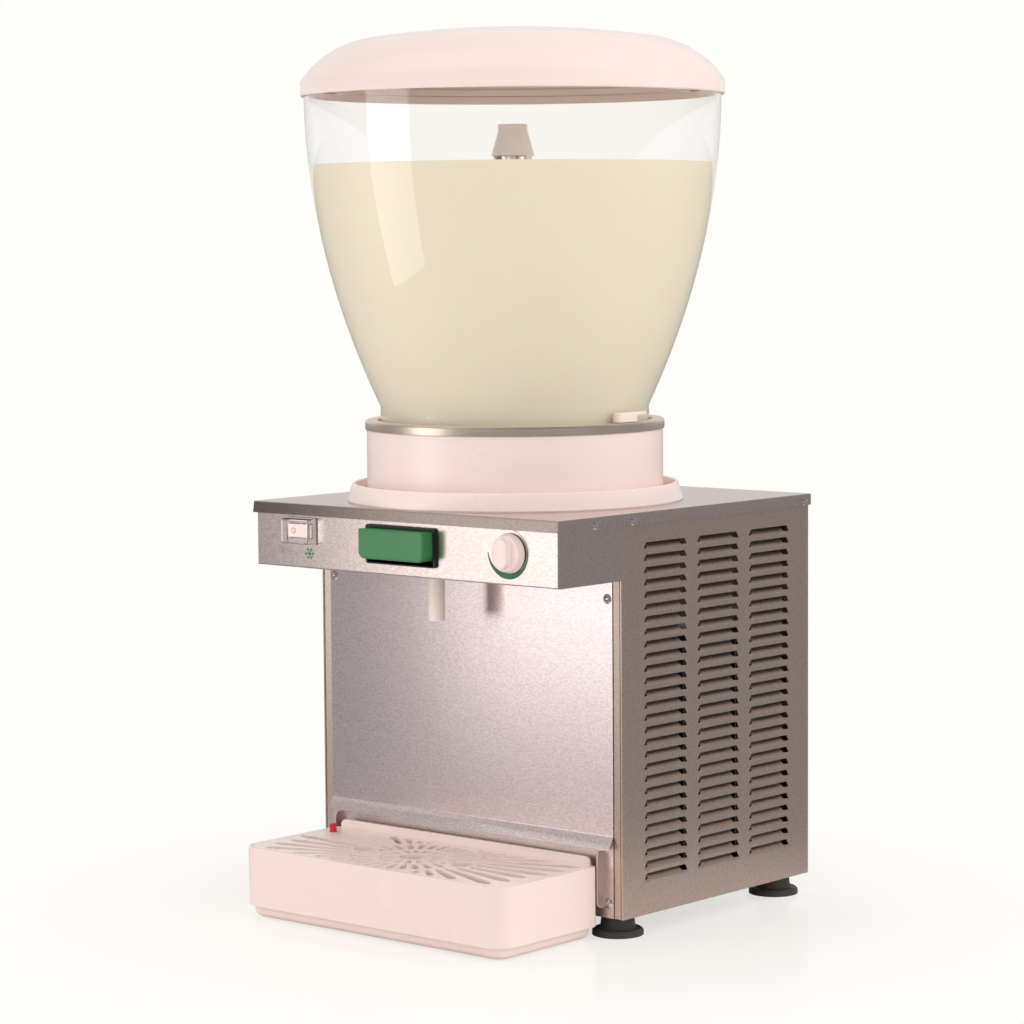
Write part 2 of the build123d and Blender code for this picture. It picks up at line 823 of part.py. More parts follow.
with BuildPart() as bowl_gasket:
    gasket_top = (0, bowl_y, rim_top - gasket_drop)
    gasket_low = (0, bowl_y, rim_top - gasket_drop - gasket_height)
    rod(gasket_low, gasket_top, cup_radius)
    rod(gasket_low, gasket_top, neck_radius + running_gap, Mode.SUBTRACT)
bowl_gasket.part.label = "bowl_gasket"
export_step(bowl_gasket.part, "parts/bowl_gasket.step")

# Lid: band, shoulder and low crown, with a seat on the bowl's rim
lid_low = bowl_rim_z - lid_lap
lid_band_top = lid_low + lid_band
lid_shoulder_z = lid_band_top + lid_shoulder_rise
lid_top = lid_shoulder_z + lid_crown_rise
lid_round_x = lid_shoulder_radius + lid_round_reach
lid_round_z = lid_band_top + lid_round_rise
crown_radius = (lid_shoulder_radius**2 + lid_crown_rise**2) / (2 * lid_crown_rise)
crown_centre = (0, lid_top - crown_radius)
crown_angle = degrees(asin(lid_shoulder_radius / crown_radius))
crown_bore = crown_radius - lid_wall
lid_edge = lid_wall / 3
lid_bore = bowl_rim_radius + slide_gap
lid_seat_z = bowl_rim_z + lid_seat_gap
lid_seat_radius = lid_bore - lid_seat_width
slant = lid_wall * sqrt(0.5)
with BuildPart() as lid:
    with BuildSketch(bowl_plane):
        with BuildLine():
            Line((lid_radius, lid_low + lid_edge), (lid_radius, lid_band_top))
            crown = CenterArc(crown_centre, crown_radius, 90 - crown_angle, crown_angle)
            ceiling = CenterArc(crown_centre, crown_bore, 90 - crown_angle, crown_angle)
            ThreePointArc((lid_radius, lid_band_top), (lid_round_x, lid_round_z), crown @ 0)
            Line(crown @ 1, ceiling @ 1)
            ThreePointArc(
                ceiling @ 0,
                (lid_round_x - slant, lid_round_z - slant),
                (lid_seat_radius, lid_band_top),
            )
            Polyline(
                (lid_seat_radius, lid_band_top),
                (lid_seat_radius, lid_seat_z),
                (lid_bore, lid_seat_z),
                (lid_bore, lid_low),
                (lid_radius - lid_edge, lid_low),
                (lid_radius, lid_low + lid_edge),
            )
        make_face()
    revolve(axis=bowl_axis)
lid.part.label = "lid"
export_step(lid.part, "parts/lid.step")

# Bowl catches that swing on pins in the rim
catch_low = rim_top + slide_gap
catch_top = catch_low + catch_height
catch_inner = catch_radius - catch_width / 2
catch_outer = catch_radius + catch_width / 2
catch_mid_angle = catch_start_angle + catch_block_angle
arm_inner = catch_outer - catch_arm_width
bowl_centre = (0, bowl_y)
with BuildPart() as right_catch:
    with BuildSketch(Plane.XY.offset(catch_low)):
        with BuildLine():
            block_out = CenterArc(bowl_centre, catch_outer, catch_start_angle, catch_block_angle)
            block_in = CenterArc(bowl_centre, catch_inner, catch_start_angle, catch_block_angle)
            Line(block_out @ 0, block_in @ 0)
            Line(block_out @ 1, block_in @ 1)
        make_face()
        with Locations((catch_pin_x, catch_pin_y)):
            Circle(catch_width / 2)
    extrude(amount=catch_height)
    with BuildSketch(Plane.XY.offset(catch_top)):
        with BuildLine():
            arm_out = CenterArc(bowl_centre, catch_outer, catch_mid_angle, catch_arm_angle)
            arm_in = CenterArc(bowl_centre, arm_inner, catch_mid_angle, catch_arm_angle)
            Line(arm_out @ 0, arm_in @ 0)
            Line(arm_out @ 1, arm_in @ 1)
        make_face()
    extrude(amount=-catch_arm_height)
    rod(
        (catch_pin_x, catch_pin_y, catch_low),
        (catch_pin_x, catch_pin_y, catch_top),
        catch_pin_radius + running_gap,
        Mode.SUBTRACT,
    )
right_catch.part.label = "right_catch"
export_step(right_catch.part, "parts/right_catch.step")

with BuildPart() as left_catch:
    mirror(right_catch.part, about=Plane.YZ)
left_catch.part.label = "left_catch"
export_step(left_catch.part, "parts/left_catch.step")

with BuildPart() as catch_pins:
    for side in both_sides:
        pin_x = side * catch_pin_x
        rod((pin_x, catch_pin_y, rim_top - 2 * cup_wall), (pin_x, catch_pin_y, catch_top), catch_pin_radius)
catch_pins.part.label = "catch_pins"
export_step(catch_pins.part, "parts/catch_pins.step")

# Stirrer: hub over the standpipe, two legs and two paddles in the cup
hub_low = standpipe_top - slide_gap
hub_top = hub_low + hub_height
hub_bore = standpipe_radius + 4 * slide_gap
hub_ceiling = standpipe_top + hub_cap
paddle_low = cup_floor_top + hub_cap
leg_radius = hub_foot_radius - stirrer_leg_depth
hub_outline = [
    (0, hub_ceiling),
    (hub_bore, hub_ceiling),
    (hub_bore, hub_low),
    (hub_foot_radius, hub_low),
    (hub_top_radius, hub_top - hub_cap),
    (hub_top_radius, hub_top),
    (0, hub_top),
]
with BuildPart() as stirrer:
    with BuildSketch(bowl_plane):
        with BuildLine():
            Polyline(*hub_outline, close=True)
        make_face()
    revolve(axis=bowl_axis)
    hub_edges = stirrer.edges().filter_by(GeomType.CIRCLE).group_by(Axis.Z)[-1]
    fillet(hub_edges, hub_cap / 4)
    ring_low, ring_top = (0, bowl_y, paddle_low), (0, bowl_y, paddle_low + hub_cap)
    rod(ring_low, ring_top, hub_foot_radius)
    rod(ring_low, ring_top, standpipe_radius + 2 * slide_gap, Mode.SUBTRACT)
    leg_y = (bowl_y - stirrer_leg_width / 2, bowl_y + stirrer_leg_width / 2)
    paddle_y = (bowl_y - paddle_thickness / 2, bowl_y + paddle_thickness / 2)
    for side in both_sides:
        leg_x = sorted((side * leg_radius, side * hub_foot_radius))
        block(leg_x, leg_y, (paddle_low, hub_low + hub_cap / 2))
        paddle_x = sorted((side * leg_radius, side * paddle_radius))
        block(paddle_x, paddle_y, (paddle_low, paddle_low + paddle_height))
    rod((0, bowl_y, hub_ceiling), (0, bowl_y, hub_top - hub_cap), shaft_radius, Mode.SUBTRACT)
stirrer.part.label = "stirrer"
export_step(stirrer.part, "parts/stirrer.step")

# Mixer gear motor hung under the plate, and its shaft
bracket_low = plate_low - mixer_bracket_drop - bracket_sheet
motor_half = motor_width / 2
bracket_half = motor_half + 4 * bracket_sheet
gearbox_low = bracket_low - gearbox_height
socket_low = bracket_low - gearbox_socket
with BuildPart() as drive_shaft:
    rod((0, bowl_y, socket_low), (0, bowl_y, hub_top - hub_cap), shaft_radius)
drive_shaft.part.label = "drive_shaft"
export_step(drive_shaft.part, "parts/drive_shaft.step")

with BuildPart() as mixer_bracket:
    bracket_y = (bowl_y - motor_half, bowl_y + motor_half)
    block((-bracket_half, bracket_half), bracket_y, (bracket_low, plate_low))
    block(
        (-bracket_half + bracket_sheet, bracket_half - bracket_sheet),
        bracket_y,
        (bracket_low + bracket_sheet, plate_low),
        Mode.SUBTRACT,
    )
    for side in both_sides:
        foot_x = sorted((side * bracket_half, side * (bracket_half + 3 * bracket_sheet)))
        block(foot_x, bracket_y, (plate_low - bracket_sheet, plate_low))
    rod(
        (0, bowl_y, bracket_low),
        (0, bowl_y, bracket_low + bracket_sheet),
        shaft_radius + slide_gap,
        Mode.SUBTRACT,
    )
mixer_bracket.part.label = "mixer_bracket"
export_step(mixer_bracket.part, "parts/mixer_bracket.step")

with BuildPart() as mixer_motor:
    block((-motor_half, motor_half), (bowl_y - motor_half, bowl_y + motor_half), (gearbox_low, bracket_low))
    fillet(mixer_motor.edges().filter_by(Axis.Z), motor_corner)
    rod((0, bowl_y, gearbox_low - motor_height), (0, bowl_y, gearbox_low), motor_radius)
    rod(
        (0, bowl_y, socket_low),
        (0, bowl_y, bracket_low),
        shaft_radius + running_gap,
        Mode.SUBTRACT,
    )
mixer_motor.part.label = "mixer_motor"
export_step(mixer_motor.part, "parts/mixer_motor.step")

# Outlet nipple from the cup floor down through the plate
nipple_low = plate_low - nipple_drop
nipple_flange = nipple_radius + cup_wall
with BuildPart() as outlet_nipple:
    rod((0, spout_y, nipple_low), (0, spout_y, cup_floor_top), nipple_radius)
    rod((0, spout_y, cup_floor_top), (0, spout_y, cup_floor_top + cup_wall), nipple_flange)
    rod((0, spout_y, nipple_low), (0, spout_y, cup_floor_top + cup_wall), nipple_bore, Mode.SUBTRACT)
outlet_nipple.part.label = "outlet_nipple"
export_step(outlet_nipple.part, "parts/outlet_nipple.step")

# Silicone spout tube: cuff on the nipple, pinched flat in the head
pinch_z = head_low + pinch_height
pinch_high = pinch_z + pinch_half_height
pinch_low = pinch_z - pinch_half_height
taper_high = pinch_high + pinch_taper
taper_low = pinch_low - pinch_taper
spout_low = head_low - spout_drop
with BuildPart() as spout_tube:
    rod((0, spout_y, taper_high), (0, spout_y, nipple_low), spout_radius)
    rod((0, spout_y, nipple_low), (0, spout_y, plate_low), cuff_radius)
    rod((0, spout_y, nipple_low), (0, spout_y, plate_low), nipple_radius, Mode.SUBTRACT)
    rod((0, spout_y, taper_high), (0, spout_y, nipple_low), spout_bore, Mode.SUBTRACT)
    with BuildSketch(Plane(origin=(0, spout_y, taper_high))):
        Circle(spout_radius)
    with BuildSketch(Plane(origin=(0, spout_y, pinch_high))):
        Ellipse(pinch_width, pinch_thickness)
    loft()
    with BuildSketch(Plane(origin=(0, spout_y, pinch_low))):
        Ellipse(pinch_width, pinch_thickness)
    extrude(amount=2 * pinch_half_height)
    with BuildSketch(Plane(origin=(0, spout_y, pinch_low))):
        Ellipse(pinch_width, pinch_thickness)
    with BuildSketch(Plane(origin=(0, spout_y, taper_low))):
        Circle(spout_radius)
    loft()
    rod((0, spout_y, spout_low), (0, spout_y, taper_low), spout_radius)
    rod((0, spout_y, spout_low), (0, spout_y, taper_low), spout_bore, Mode.SUBTRACT)
spout_tube.part.label = "spout_tube"
export_step(spout_tube.part, "parts/spout_tube.step")

# Anvil on the head floor, in front of the tube
anvil_half = anvil_width / 2
anvil_front = spout_y - spout_radius - 2 * lever_bar
with BuildPart() as valve_anvil:
    post_y = (anvil_front, anvil_front + lever_bar)
    block((-anvil_half, anvil_half), post_y, (head_floor, head_low + anvil_top))
    nose_y = (anvil_front, spout_y - pinch_thickness)
    block((-anvil_half, anvil_half), nose_y, (pinch_low, pinch_high))
valve_anvil.part.label = "valve_anvil"
export_step(valve_anvil.part, "parts/valve_anvil.step")

# Dispensing lever: hub, shank to the handle, two arms and a crossbar behind the tube
pivot_y = spout_y - lever_pivot_ahead
pivot_z = plate_top - lever_pivot_drop
lever_half = lever_arm_inner + lever_arm_width
handle_back_y = head_front_y + handle_inside
shank_top = plate_top - shank_drop
shank_low = shank_top - shank_height
bar_front = spout_y + pinch_thickness
bar_back = bar_front + lever_bar
arm_outline = [
    (pivot_y - lever_hub_radius, shank_low),
    (pivot_y - lever_hub_radius, pivot_z),
    (pivot_y + lever_hub_radius, pivot_z),
    (bar_back, pinch_high),
    (bar_back, pinch_low),
    (bar_front, pinch_low),
    (bar_front, pinch_high),
    (pivot_y, shank_low),
]
with BuildPart() as dispense_lever:
    rod((-lever_half, pivot_y, pivot_z), (lever_half, pivot_y, pivot_z), lever_hub_radius)
    block((-shank_width / 2, shank_width / 2), (handle_back_y, pivot_y), (shank_low, shank_top))
    hub_web = (pivot_y - lever_hub_radius, pivot_y)
    block((-lever_half, lever_half), hub_web, (shank_low, pivot_z))
    with BuildSketch(section_plane.offset(lever_arm_inner), section_plane.offset(-lever_half)):
        with BuildLine():
            Polyline(*arm_outline, close=True)
        make_face()
    extrude(amount=lever_arm_width)
    block((-lever_half, lever_half), (bar_front, bar_back), (pinch_low, pinch_high))
    rod(
        (-lever_half, pivot_y, pivot_z),
        (lever_half, pivot_y, pivot_z),
        lever_pin_radius + running_gap,
        Mode.SUBTRACT,
    )
dispense_lever.part.label = "dispense_lever"
export_step(dispense_lever.part, "parts/dispense_lever.step")

# Bracket under the plate, and the pin the lever turns on
cheek_near = lever_half + bracket_gap
cheek_far = cheek_near + bracket_sheet
with BuildPart() as lever_bracket:
    hanger_y = (pivot_y - 2 * lever_hub_radius, pivot_y + lever_hub_radius)
    hanger_low = pivot_z - bracket_below_pivot
    block((-cheek_far, cheek_far), hanger_y, (hanger_low, plate_low))
    block((-cheek_near, cheek_near), hanger_y, (hanger_low, plate_low - bracket_sheet), Mode.SUBTRACT)
    rod((-cheek_far, pivot_y, pivot_z), (cheek_far, pivot_y, pivot_z), lever_pin_radius, Mode.SUBTRACT)
lever_bracket.part.label = "lever_bracket"
export_step(lever_bracket.part, "parts/lever_bracket.step")

with BuildPart() as lever_pin:
    rod((-cheek_far, pivot_y, pivot_z), (cheek_far, pivot_y, pivot_z), lever_pin_radius)
lever_pin.part.label = "lever_pin"
export_step(lever_pin.part, "parts/lever_pin.step")

# Leaf spring between the head floor and the lever's shank
spring_front = head_front_y + bezel_depth + 2 * spring_sheet
spring_outline = [
    (spring_front, head_floor),
    (spring_front + spring_length, head_floor),
    (spring_front, shank_low),
    (spring_front - 2 * spring_sheet, shank_low),
    (spring_front + spring_length - 3 * spring_sheet, head_floor + spring_sheet),
    (spring_front, head_floor + spring_sheet),
]
with BuildPart() as return_spring:
    with BuildSketch(section_plane):
        with BuildLine():
            Polyline(*spring_outline, close=True)
        make_face()
    extrude(amount=spring_width / 2, both=True)
return_spring.part.label = "return_spring"
export_step(return_spring.part, "parts/return_spring.step")

# Handle and its bezel
handle_half = handle_width / 2
handle_front_y = head_front_y - handle_reach
with BuildPart() as handle:
    block((-handle_half, handle_half), (handle_front_y, handle_back_y), (handle_low, handle_top))
    low_corners = handle.edges().filter_by(Axis.Y).group_by(Axis.Z)[0]
    fillet(low_corners, handle_corner)
    fillet(handle.faces().sort_by(Axis.Y)[0].edges(), handle_corner / 4)
handle.part.label = "handle"
export_step(handle.part, "parts/handle.step")

sleeve_x = window_x + bezel_wall
sleeve_top = window_top + bezel_wall
sleeve_low = window_low - bezel_wall
bezel_x = sleeve_x + bezel_flange
with BuildPart() as handle_bezel:
    bezel_front = head_front_y - bezel_proud
    bezel_z = (sleeve_low - bezel_low_flange, sleeve_top + bezel_flange)
    block((-bezel_x, bezel_x), (bezel_front, head_front_y), bezel_z)
    fillet(handle_bezel.edges().filter_by(Axis.Y), bezel_corner)
    block((-sleeve_x, sleeve_x), (head_front_y, head_front_y + bezel_depth), (sleeve_low, sleeve_top))
    block(
        (-window_x, window_x),
        (bezel_front, head_front_y + bezel_depth),
        (window_low, window_top),
        Mode.SUBTRACT,
    )
handle_bezel.part.label = "handle_bezel"
export_step(handle_bezel.part, "parts/handle_bezel.step")

# Rocker switch: body clipped in the panel, rocker and clear splash cover
flange_front = head_front_y - switch_flange
rocker_half_x = switch_hole_x - switch_rim / 2
rocker_half_z = switch_hole_z - switch_rim
with BuildPart() as switch_body:
    flange_x = (switch_x - switch_width / 2, switch_x + switch_width / 2)
    flange_z = (switch_z - switch_height / 2, switch_z + switch_height / 2)
    block(flange_x, (flange_front, head_front_y), flange_z)
    fillet(switch_body.edges().filter_by(Axis.Y), switch_rim / 2)
    block(
        (switch_x - switch_hole_x, switch_x + switch_hole_x),
        (head_front_y, head_front_y + switch_depth),
        (switch_z - switch_hole_z, switch_z + switch_hole_z),
    )
    block(
        (switch_x - rocker_half_x, switch_x + rocker_half_x),
        (flange_front, head_front_y + 2 * rocker_depth),
        (switch_z - rocker_half_z, switch_z + rocker_half_z),
        Mode.SUBTRACT,
    )
switch_body.part.label = "switch_body"
export_step(switch_body.part, "parts/switch_body.step")

rocker_x = rocker_half_x - rocker_gap
rocker_z = rocker_half_z - rocker_gap
rocker_outline = [
    (switch_x - rocker_x, head_front_y - rocker_proud),
    (switch_x, head_front_y - rocker_proud + rocker_hollow),
    (switch_x + rocker_x, head_front_y - rocker_proud),
    (switch_x + rocker_x, head_front_y),
    (switch_x + rocker_x / 2, head_front_y + rocker_depth),
    (switch_x - rocker_x / 2, head_front_y + rocker_depth),
    (switch_x - rocker_x, head_front_y),
]
with BuildPart() as rocker:
    with BuildSketch(Plane.XY.offset(switch_z)):
        with BuildLine():
            Polyline(*rocker_outline, close=True)
        make_face()
    extrude(amount=rocker_z, both=True)
    for end_z in (switch_z - rocker_half_z, switch_z + rocker_z):
        rod((switch_x, head_front_y, end_z), (switch_x, head_front_y, end_z + rocker_gap), rocker_gap * 2)
rocker.part.label = "rocker"
export_step(rocker.part, "parts/rocker.step")

with BuildPart() as switch_cover:
    cover_x = switch_width / 2 - cover_wall
    cover_z = switch_height / 2 - cover_wall
    cover_front = flange_front - cover_height
    block(
        (switch_x - cover_x, switch_x + cover_x),
        (cover_front, flange_front),
        (switch_z - cover_z, switch_z + cover_z),
    )
    fillet(switch_cover.edges().filter_by(Axis.Y), switch_rim)
    fillet(switch_cover.faces().sort_by(Axis.Y)[0].edges(), switch_rim)
    block(
        (switch_x - cover_x + cover_wall, switch_x + cover_x - cover_wall),
        (cover_front + cover_wall, flange_front),
        (switch_z - cover_z + cover_wall, switch_z + cover_z - cover_wall),
        Mode.SUBTRACT,
    )
switch_cover.part.label = "switch_cover"
export_step(switch_cover.part, "parts/switch_cover.step")

# Thermostat behind the panel, its shaft and the bar knob
thermostat_y = head_inner_y + thermostat_depth
with BuildPart() as thermostat:
    block(
        (knob_x - thermostat_width / 2, knob_x + thermostat_width / 2),
        (head_inner_y, thermostat_y),
        (knob_z - thermostat_height / 2, knob_z + thermostat_height / 2),
    )
    rod((knob_x, head_front_y, knob_z), (knob_x, head_inner_y, knob_z), thermostat_neck)
    rod(
        (knob_x, head_front_y, knob_z),
        (knob_x, head_inner_y + thermostat_depth / 2, knob_z),
        thermostat_shaft_radius + running_gap,
        Mode.SUBTRACT,
    )
thermostat.part.label = "thermostat"
export_step(thermostat.part, "parts/thermostat.step")

knob_back_y = head_front_y - knob_gap
knob_mid_y = knob_back_y - knob_skirt
with BuildPart() as thermostat_shaft:
    shaft_end = (knob_x, head_inner_y + thermostat_depth / 2, knob_z)
    rod((knob_x, knob_mid_y, knob_z), shaft_end, thermostat_shaft_radius)
thermostat_shaft.part.label = "thermostat_shaft"
export_step(thermostat_shaft.part, "parts/thermostat_shaft.step")

with BuildPart() as knob:
    grip_plane = Plane(origin=(knob_x, knob_back_y, knob_z), x_dir=(1, 0, 0), z_dir=(0, -1, 0))
    with BuildSketch(grip_plane):
        Circle(knob_radius)
    extrude(amount=knob_skirt, taper=knob_taper)
    fillet(knob.faces().sort_by(Axis.Y)[0].edges(), knob_edge)
    with BuildSketch(grip_plane):
        SlotOverall(knob_grip_length, knob_grip_width, rotation=90)
    extrude(amount=knob_skirt + knob_grip_height)
    fillet(knob.faces().sort_by(Axis.Y)[0].edges(), knob_skirt / 4)
    rod((knob_x, knob_mid_y, knob_z), (knob_x, knob_back_y, knob_z), thermostat_shaft_radius, Mode.SUBTRACT)
knob.part.label = "knob"
export_step(knob.part, "parts/knob.step")

# Drip tray: stepped base, raised back wall, a ledge for the grille and pegs that locate it on the cabinet
tray_back_y = front_y - tray_gap
tray_front_y = front_y - tray_reach
tray_mid_y = (tray_back_y + tray_front_y) / 2
tray_depth = tray_back_y - tray_front_y
ledge_z = tray_height - grille_thickness
ledge_inset = tray_wall + tray_ledge
base_z = tray_lift + tray_base_height
well_inset = tray_base_inset + tray_wall
back_corner = tray_corner / 4


def tray_block(inset, low, high):
    """Solid with the tray's rounded outline, drawn in from it all round."""
    with BuildPart() as solid:
        with Locations((0, tray_mid_y, (low + high) / 2)):
            Box(tray_width - 2 * inset, tray_depth - 2 * inset, high - low)
        corners = solid.edges().filter_by(Axis.Z).group_by(Axis.Y)
        fillet(corners[0], tray_corner - inset)
        fillet(solid.edges().filter_by(Axis.Z).group_by(Axis.Y)[-1], max(back_corner - inset, tray_wall / 2))
    return solid.part


with BuildPart() as drip_tray:
    add(tray_block(tray_base_inset, tray_lift, base_z))
    fillet(drip_tray.faces().sort_by(Axis.Z)[0].edges(), tray_base_round)
    add(tray_block(0, base_z, tray_height))
    add(tray_block(well_inset, tray_lift + tray_floor, base_z), mode=Mode.SUBTRACT)
    add(tray_block(ledge_inset, base_z, ledge_z), mode=Mode.SUBTRACT)
    add(tray_block(tray_wall, ledge_z, tray_height), mode=Mode.SUBTRACT)
    for side in both_sides:
        peg_x = side * tray_peg_offset
        peg_end = front_y + sheet + tray_peg_tip
        rod((peg_x, tray_back_y, tray_peg_height), (peg_x, peg_end, tray_peg_height), tray_peg_radius)
    upstand_x = tray_width / 2 - upstand_inset
    upstand_plane = Plane(origin=(0, tray_back_y, tray_height), x_dir=(1, 0, 0), z_dir=(0, -1, 0))
    with BuildSketch(upstand_plane):
        with Locations((0, upstand_rise / 2)):
            Rectangle(2 * upstand_x, upstand_rise)
    extrude(amount=tray_wall)
    fillet(drip_tray.edges().filter_by(Axis.Y).group_by(Axis.Z)[-1], upstand_corner)
drip_tray.part.label = "drip_tray"
export_step(drip_tray.part, "parts/drip_tray.step")

# Grille: radial slots round a centre hole, two finger holes and a hole for the float
grille_y = front_y - grille_centre
grille_x = tray_width / 2 - tray_wall - grille_margin
float_x = -float_offset
float_y = front_y - float_setback
slot_bands = []
band_start = grille_hole_radius + grille_ring_gap
for length, count in zip(grille_ring_lengths, grille_ring_counts):
    slot_bands.append((band_start, band_start + length, count))
    band_start += length + grille_ring_gap


def slot_outline(start, stop, count, angle):
    """Corners of a wedge slot between two radii, its ends drawn to a blunt point."""
    share = grille_slot_share * radians(180 / count)
    nose = (stop - start) * grille_slot_nose
    stations = [(start, grille_slot_tip), (start + nose, 1), (stop - nose, 1), (stop, grille_slot_tip)]
    edge = [(radius, radius * share * width) for radius, width in stations]
    ring = edge + [(along, -across) for along, across in reversed(edge)]
    turn_cos, turn_sin = cos(radians(angle)), sin(radians(angle))
    return [(a * turn_cos - c * turn_sin, a * turn_sin + c * turn_cos) for a, c in ring]


slots = []
for start, stop, count in slot_bands:
    slots += [slot_outline(start, stop, count, 360 * (step + 0.5) / count) for step in range(count)]
for step in range(grille_outer_count):
    angle = 360 * (step + 0.5) / grille_outer_count
    across, along = cos(radians(angle)), sin(radians(angle))
    depth_limit = (tray_back_y if along > 0 else tray_front_y) - grille_y
    depth_room = abs(depth_limit) - tray_wall - grille_margin
    reach = min(grille_x / abs(across), depth_room / abs(along))
    slot_x, slot_y = reach * across, grille_y + reach * along
    if along < 0 and abs(slot_x) > grille_x - tray_corner:
        reach -= grille_corner_room
    near_float = abs(slot_x - float_x) < float_clear_x and slot_y > float_y - float_clear_y
    if reach - band_start > grille_ring_gap and not near_float:
        slots.append(slot_outline(band_start, reach, grille_outer_count, angle))
finger_places = [(side * finger_hole_offset, grille_y) for side in both_sides]
with BuildPart() as tray_grille:
    add(tray_block(tray_wall + grille_fit, ledge_z, tray_height))
    with BuildSketch(Plane(origin=(0, grille_y, tray_height))):
        for outline in slots:
            Polygon(*outline, align=None)
        Circle(grille_hole_radius)
    extrude(amount=-grille_thickness, mode=Mode.SUBTRACT)
    for x, y in finger_places:
        rod((x, y, ledge_z), (x, y, tray_height), finger_hole_radius + grille_ring_gap)
        rod((x, y, ledge_z), (x, y, tray_height), finger_hole_radius, Mode.SUBTRACT)
    rod(
        (float_x, float_y, ledge_z),
        (float_x, float_y, tray_height),
        float_width / 2 + float_gap,
        Mode.SUBTRACT,
    )
    block(
        (-upstand_x - grille_fit, upstand_x + grille_fit),
        (tray_back_y - tray_wall - grille_fit, tray_back_y),
        (ledge_z, tray_height),
        Mode.SUBTRACT,
    )
tray_grille.part.label = "tray_grille"
export_step(tray_grille.part, "parts/tray_grille.step")

# Level float: disc on the tray floor and a red stem through the grille
float_low = tray_lift + tray_floor
with BuildPart() as float_indicator:
    rod((float_x, float_y, float_low), (float_x, float_y, float_low + tray_base_height), float_width)
    rod((float_x, float_y, float_low), (float_x, float_y, tray_height + float_proud), float_width / 2)
    fillet(float_indicator.edges().sort_by(Axis.Z)[-1], float_round)
float_indicator.part.label = "float_indicator"
export_step(float_indicator.part, "parts/float_indicator.step")

# Compressor on its foot plate, with grommets
compressor_y = back_y - compressor_setback
foot_plate_z = pan_top + grommet_height
shell_low = foot_plate_z + compressor_plate
shell_top = shell_low + compressor_height
discharge_x = compressor_x + discharge_offset
suction_x = -coil_end_radius
discharge_z = shell_low + discharge_rise
suction_z = shell_low + suction_rise
stub_y = compressor_y - compressor_radius - stub_length
plate_half_x = compressor_radius
plate_half_y = compressor_radius + grommet_radius
grommet_places = [
    (compressor_x + x * (plate_half_x - grommet_radius), compressor_y + y * (plate_half_y - grommet_radius))
    for x in both_sides
    for y in both_sides
]
with BuildPart() as compressor:
    rod((compressor_x, compressor_y, shell_low), (compressor_x, compressor_y, shell_top), compressor_radius)
    fillet(compressor.edges().group_by(Axis.Z)[-1], compressor_dome)
    fillet(compressor.edges().group_by(Axis.Z)[0], compressor_dome / 3)
    block(
        (compressor_x - plate_half_x, compressor_x + plate_half_x),
        (compressor_y - plate_half_y, compressor_y + plate_half_y),
        (foot_plate_z, shell_low),
    )
    for x, z in ((discharge_x, discharge_z), (suction_x, suction_z)):
        rod((x, stub_y, z), (x, compressor_y - compressor_radius / 2, z), stub_radius)
        rod((x, stub_y, z), (x, stub_y + stub_length, z), pipe_radius, Mode.SUBTRACT)
compressor.part.label = "compressor"
export_step(compressor.part, "parts/compressor.step")

with BuildPart() as compressor_grommets:
    for x, y in grommet_places:
        rod((x, y, pan_top), (x, y, foot_plate_z), grommet_radius)
compressor_grommets.part.label = "compressor_grommets"
export_step(compressor_grommets.part, "parts/compressor_grommets.step")

# Condenser: end plates, fins and a serpentine tube
condenser_right = inner_x - condenser_wall_gap
condenser_left = condenser_right - condenser_depth
condenser_x = (condenser_left + condenser_right) / 2
condenser_back = back_y - condenser_setback
condenser_front = condenser_back - condenser_width
condenser_low = pan_top + grommet_height
condenser_top = condenser_low + condenser_height
fin_step = (condenser_width - fin_thickness) / (fin_count - 1)
tube_low = (condenser_low + condenser_top - tube_pitch * (tube_runs - 1)) / 2
tube_zs = [tube_low + tube_pitch * run for run in reversed(range(tube_runs))]
tube_turn = tube_pitch / 2
with BuildPart() as condenser_fins:
    with BuildSketch(*(Plane.XZ.offset(-condenser_front - fin_step * step) for step in range(fin_count))):
        with Locations((condenser_x, (condenser_low + condenser_top) / 2)):
            Rectangle(condenser_depth, condenser_height)
        for tube_z in tube_zs:
            with Locations((condenser_x, tube_z)):
                Circle(tube_radius, mode=Mode.SUBTRACT)
    extrude(amount=-fin_thickness)
    for fin_y in (condenser_front, condenser_back - fin_thickness):
        block((condenser_left, condenser_right), (fin_y, fin_y + fin_thickness), (pan_top, condenser_low))
condenser_fins.part.label = "condenser_fins"
export_step(condenser_fins.part, "parts/condenser_fins.step")

tube_path = [(condenser_x, condenser_front - tube_turn, tube_zs[0])]
for run in range(tube_runs - 1):
    turn_y = condenser_back + tube_turn if run % 2 == 0 else condenser_front - tube_turn
    tube_path += [(condenser_x, turn_y, tube_zs[run]), (condenser_x, turn_y, tube_zs[run + 1])]
tube_path.append((condenser_x, condenser_front - tube_turn, tube_zs[-1]))
with BuildPart() as condenser_tube:
    with BuildLine():
        FilletPolyline(*tube_path, radius=tube_bend)
    with BuildSketch(Plane(origin=tube_path[0], z_dir=(0, 1, 0))):
        Circle(tube_radius)
    sweep()
condenser_tube.part.label = "condenser_tube"
export_step(condenser_tube.part, "parts/condenser_tube.step")

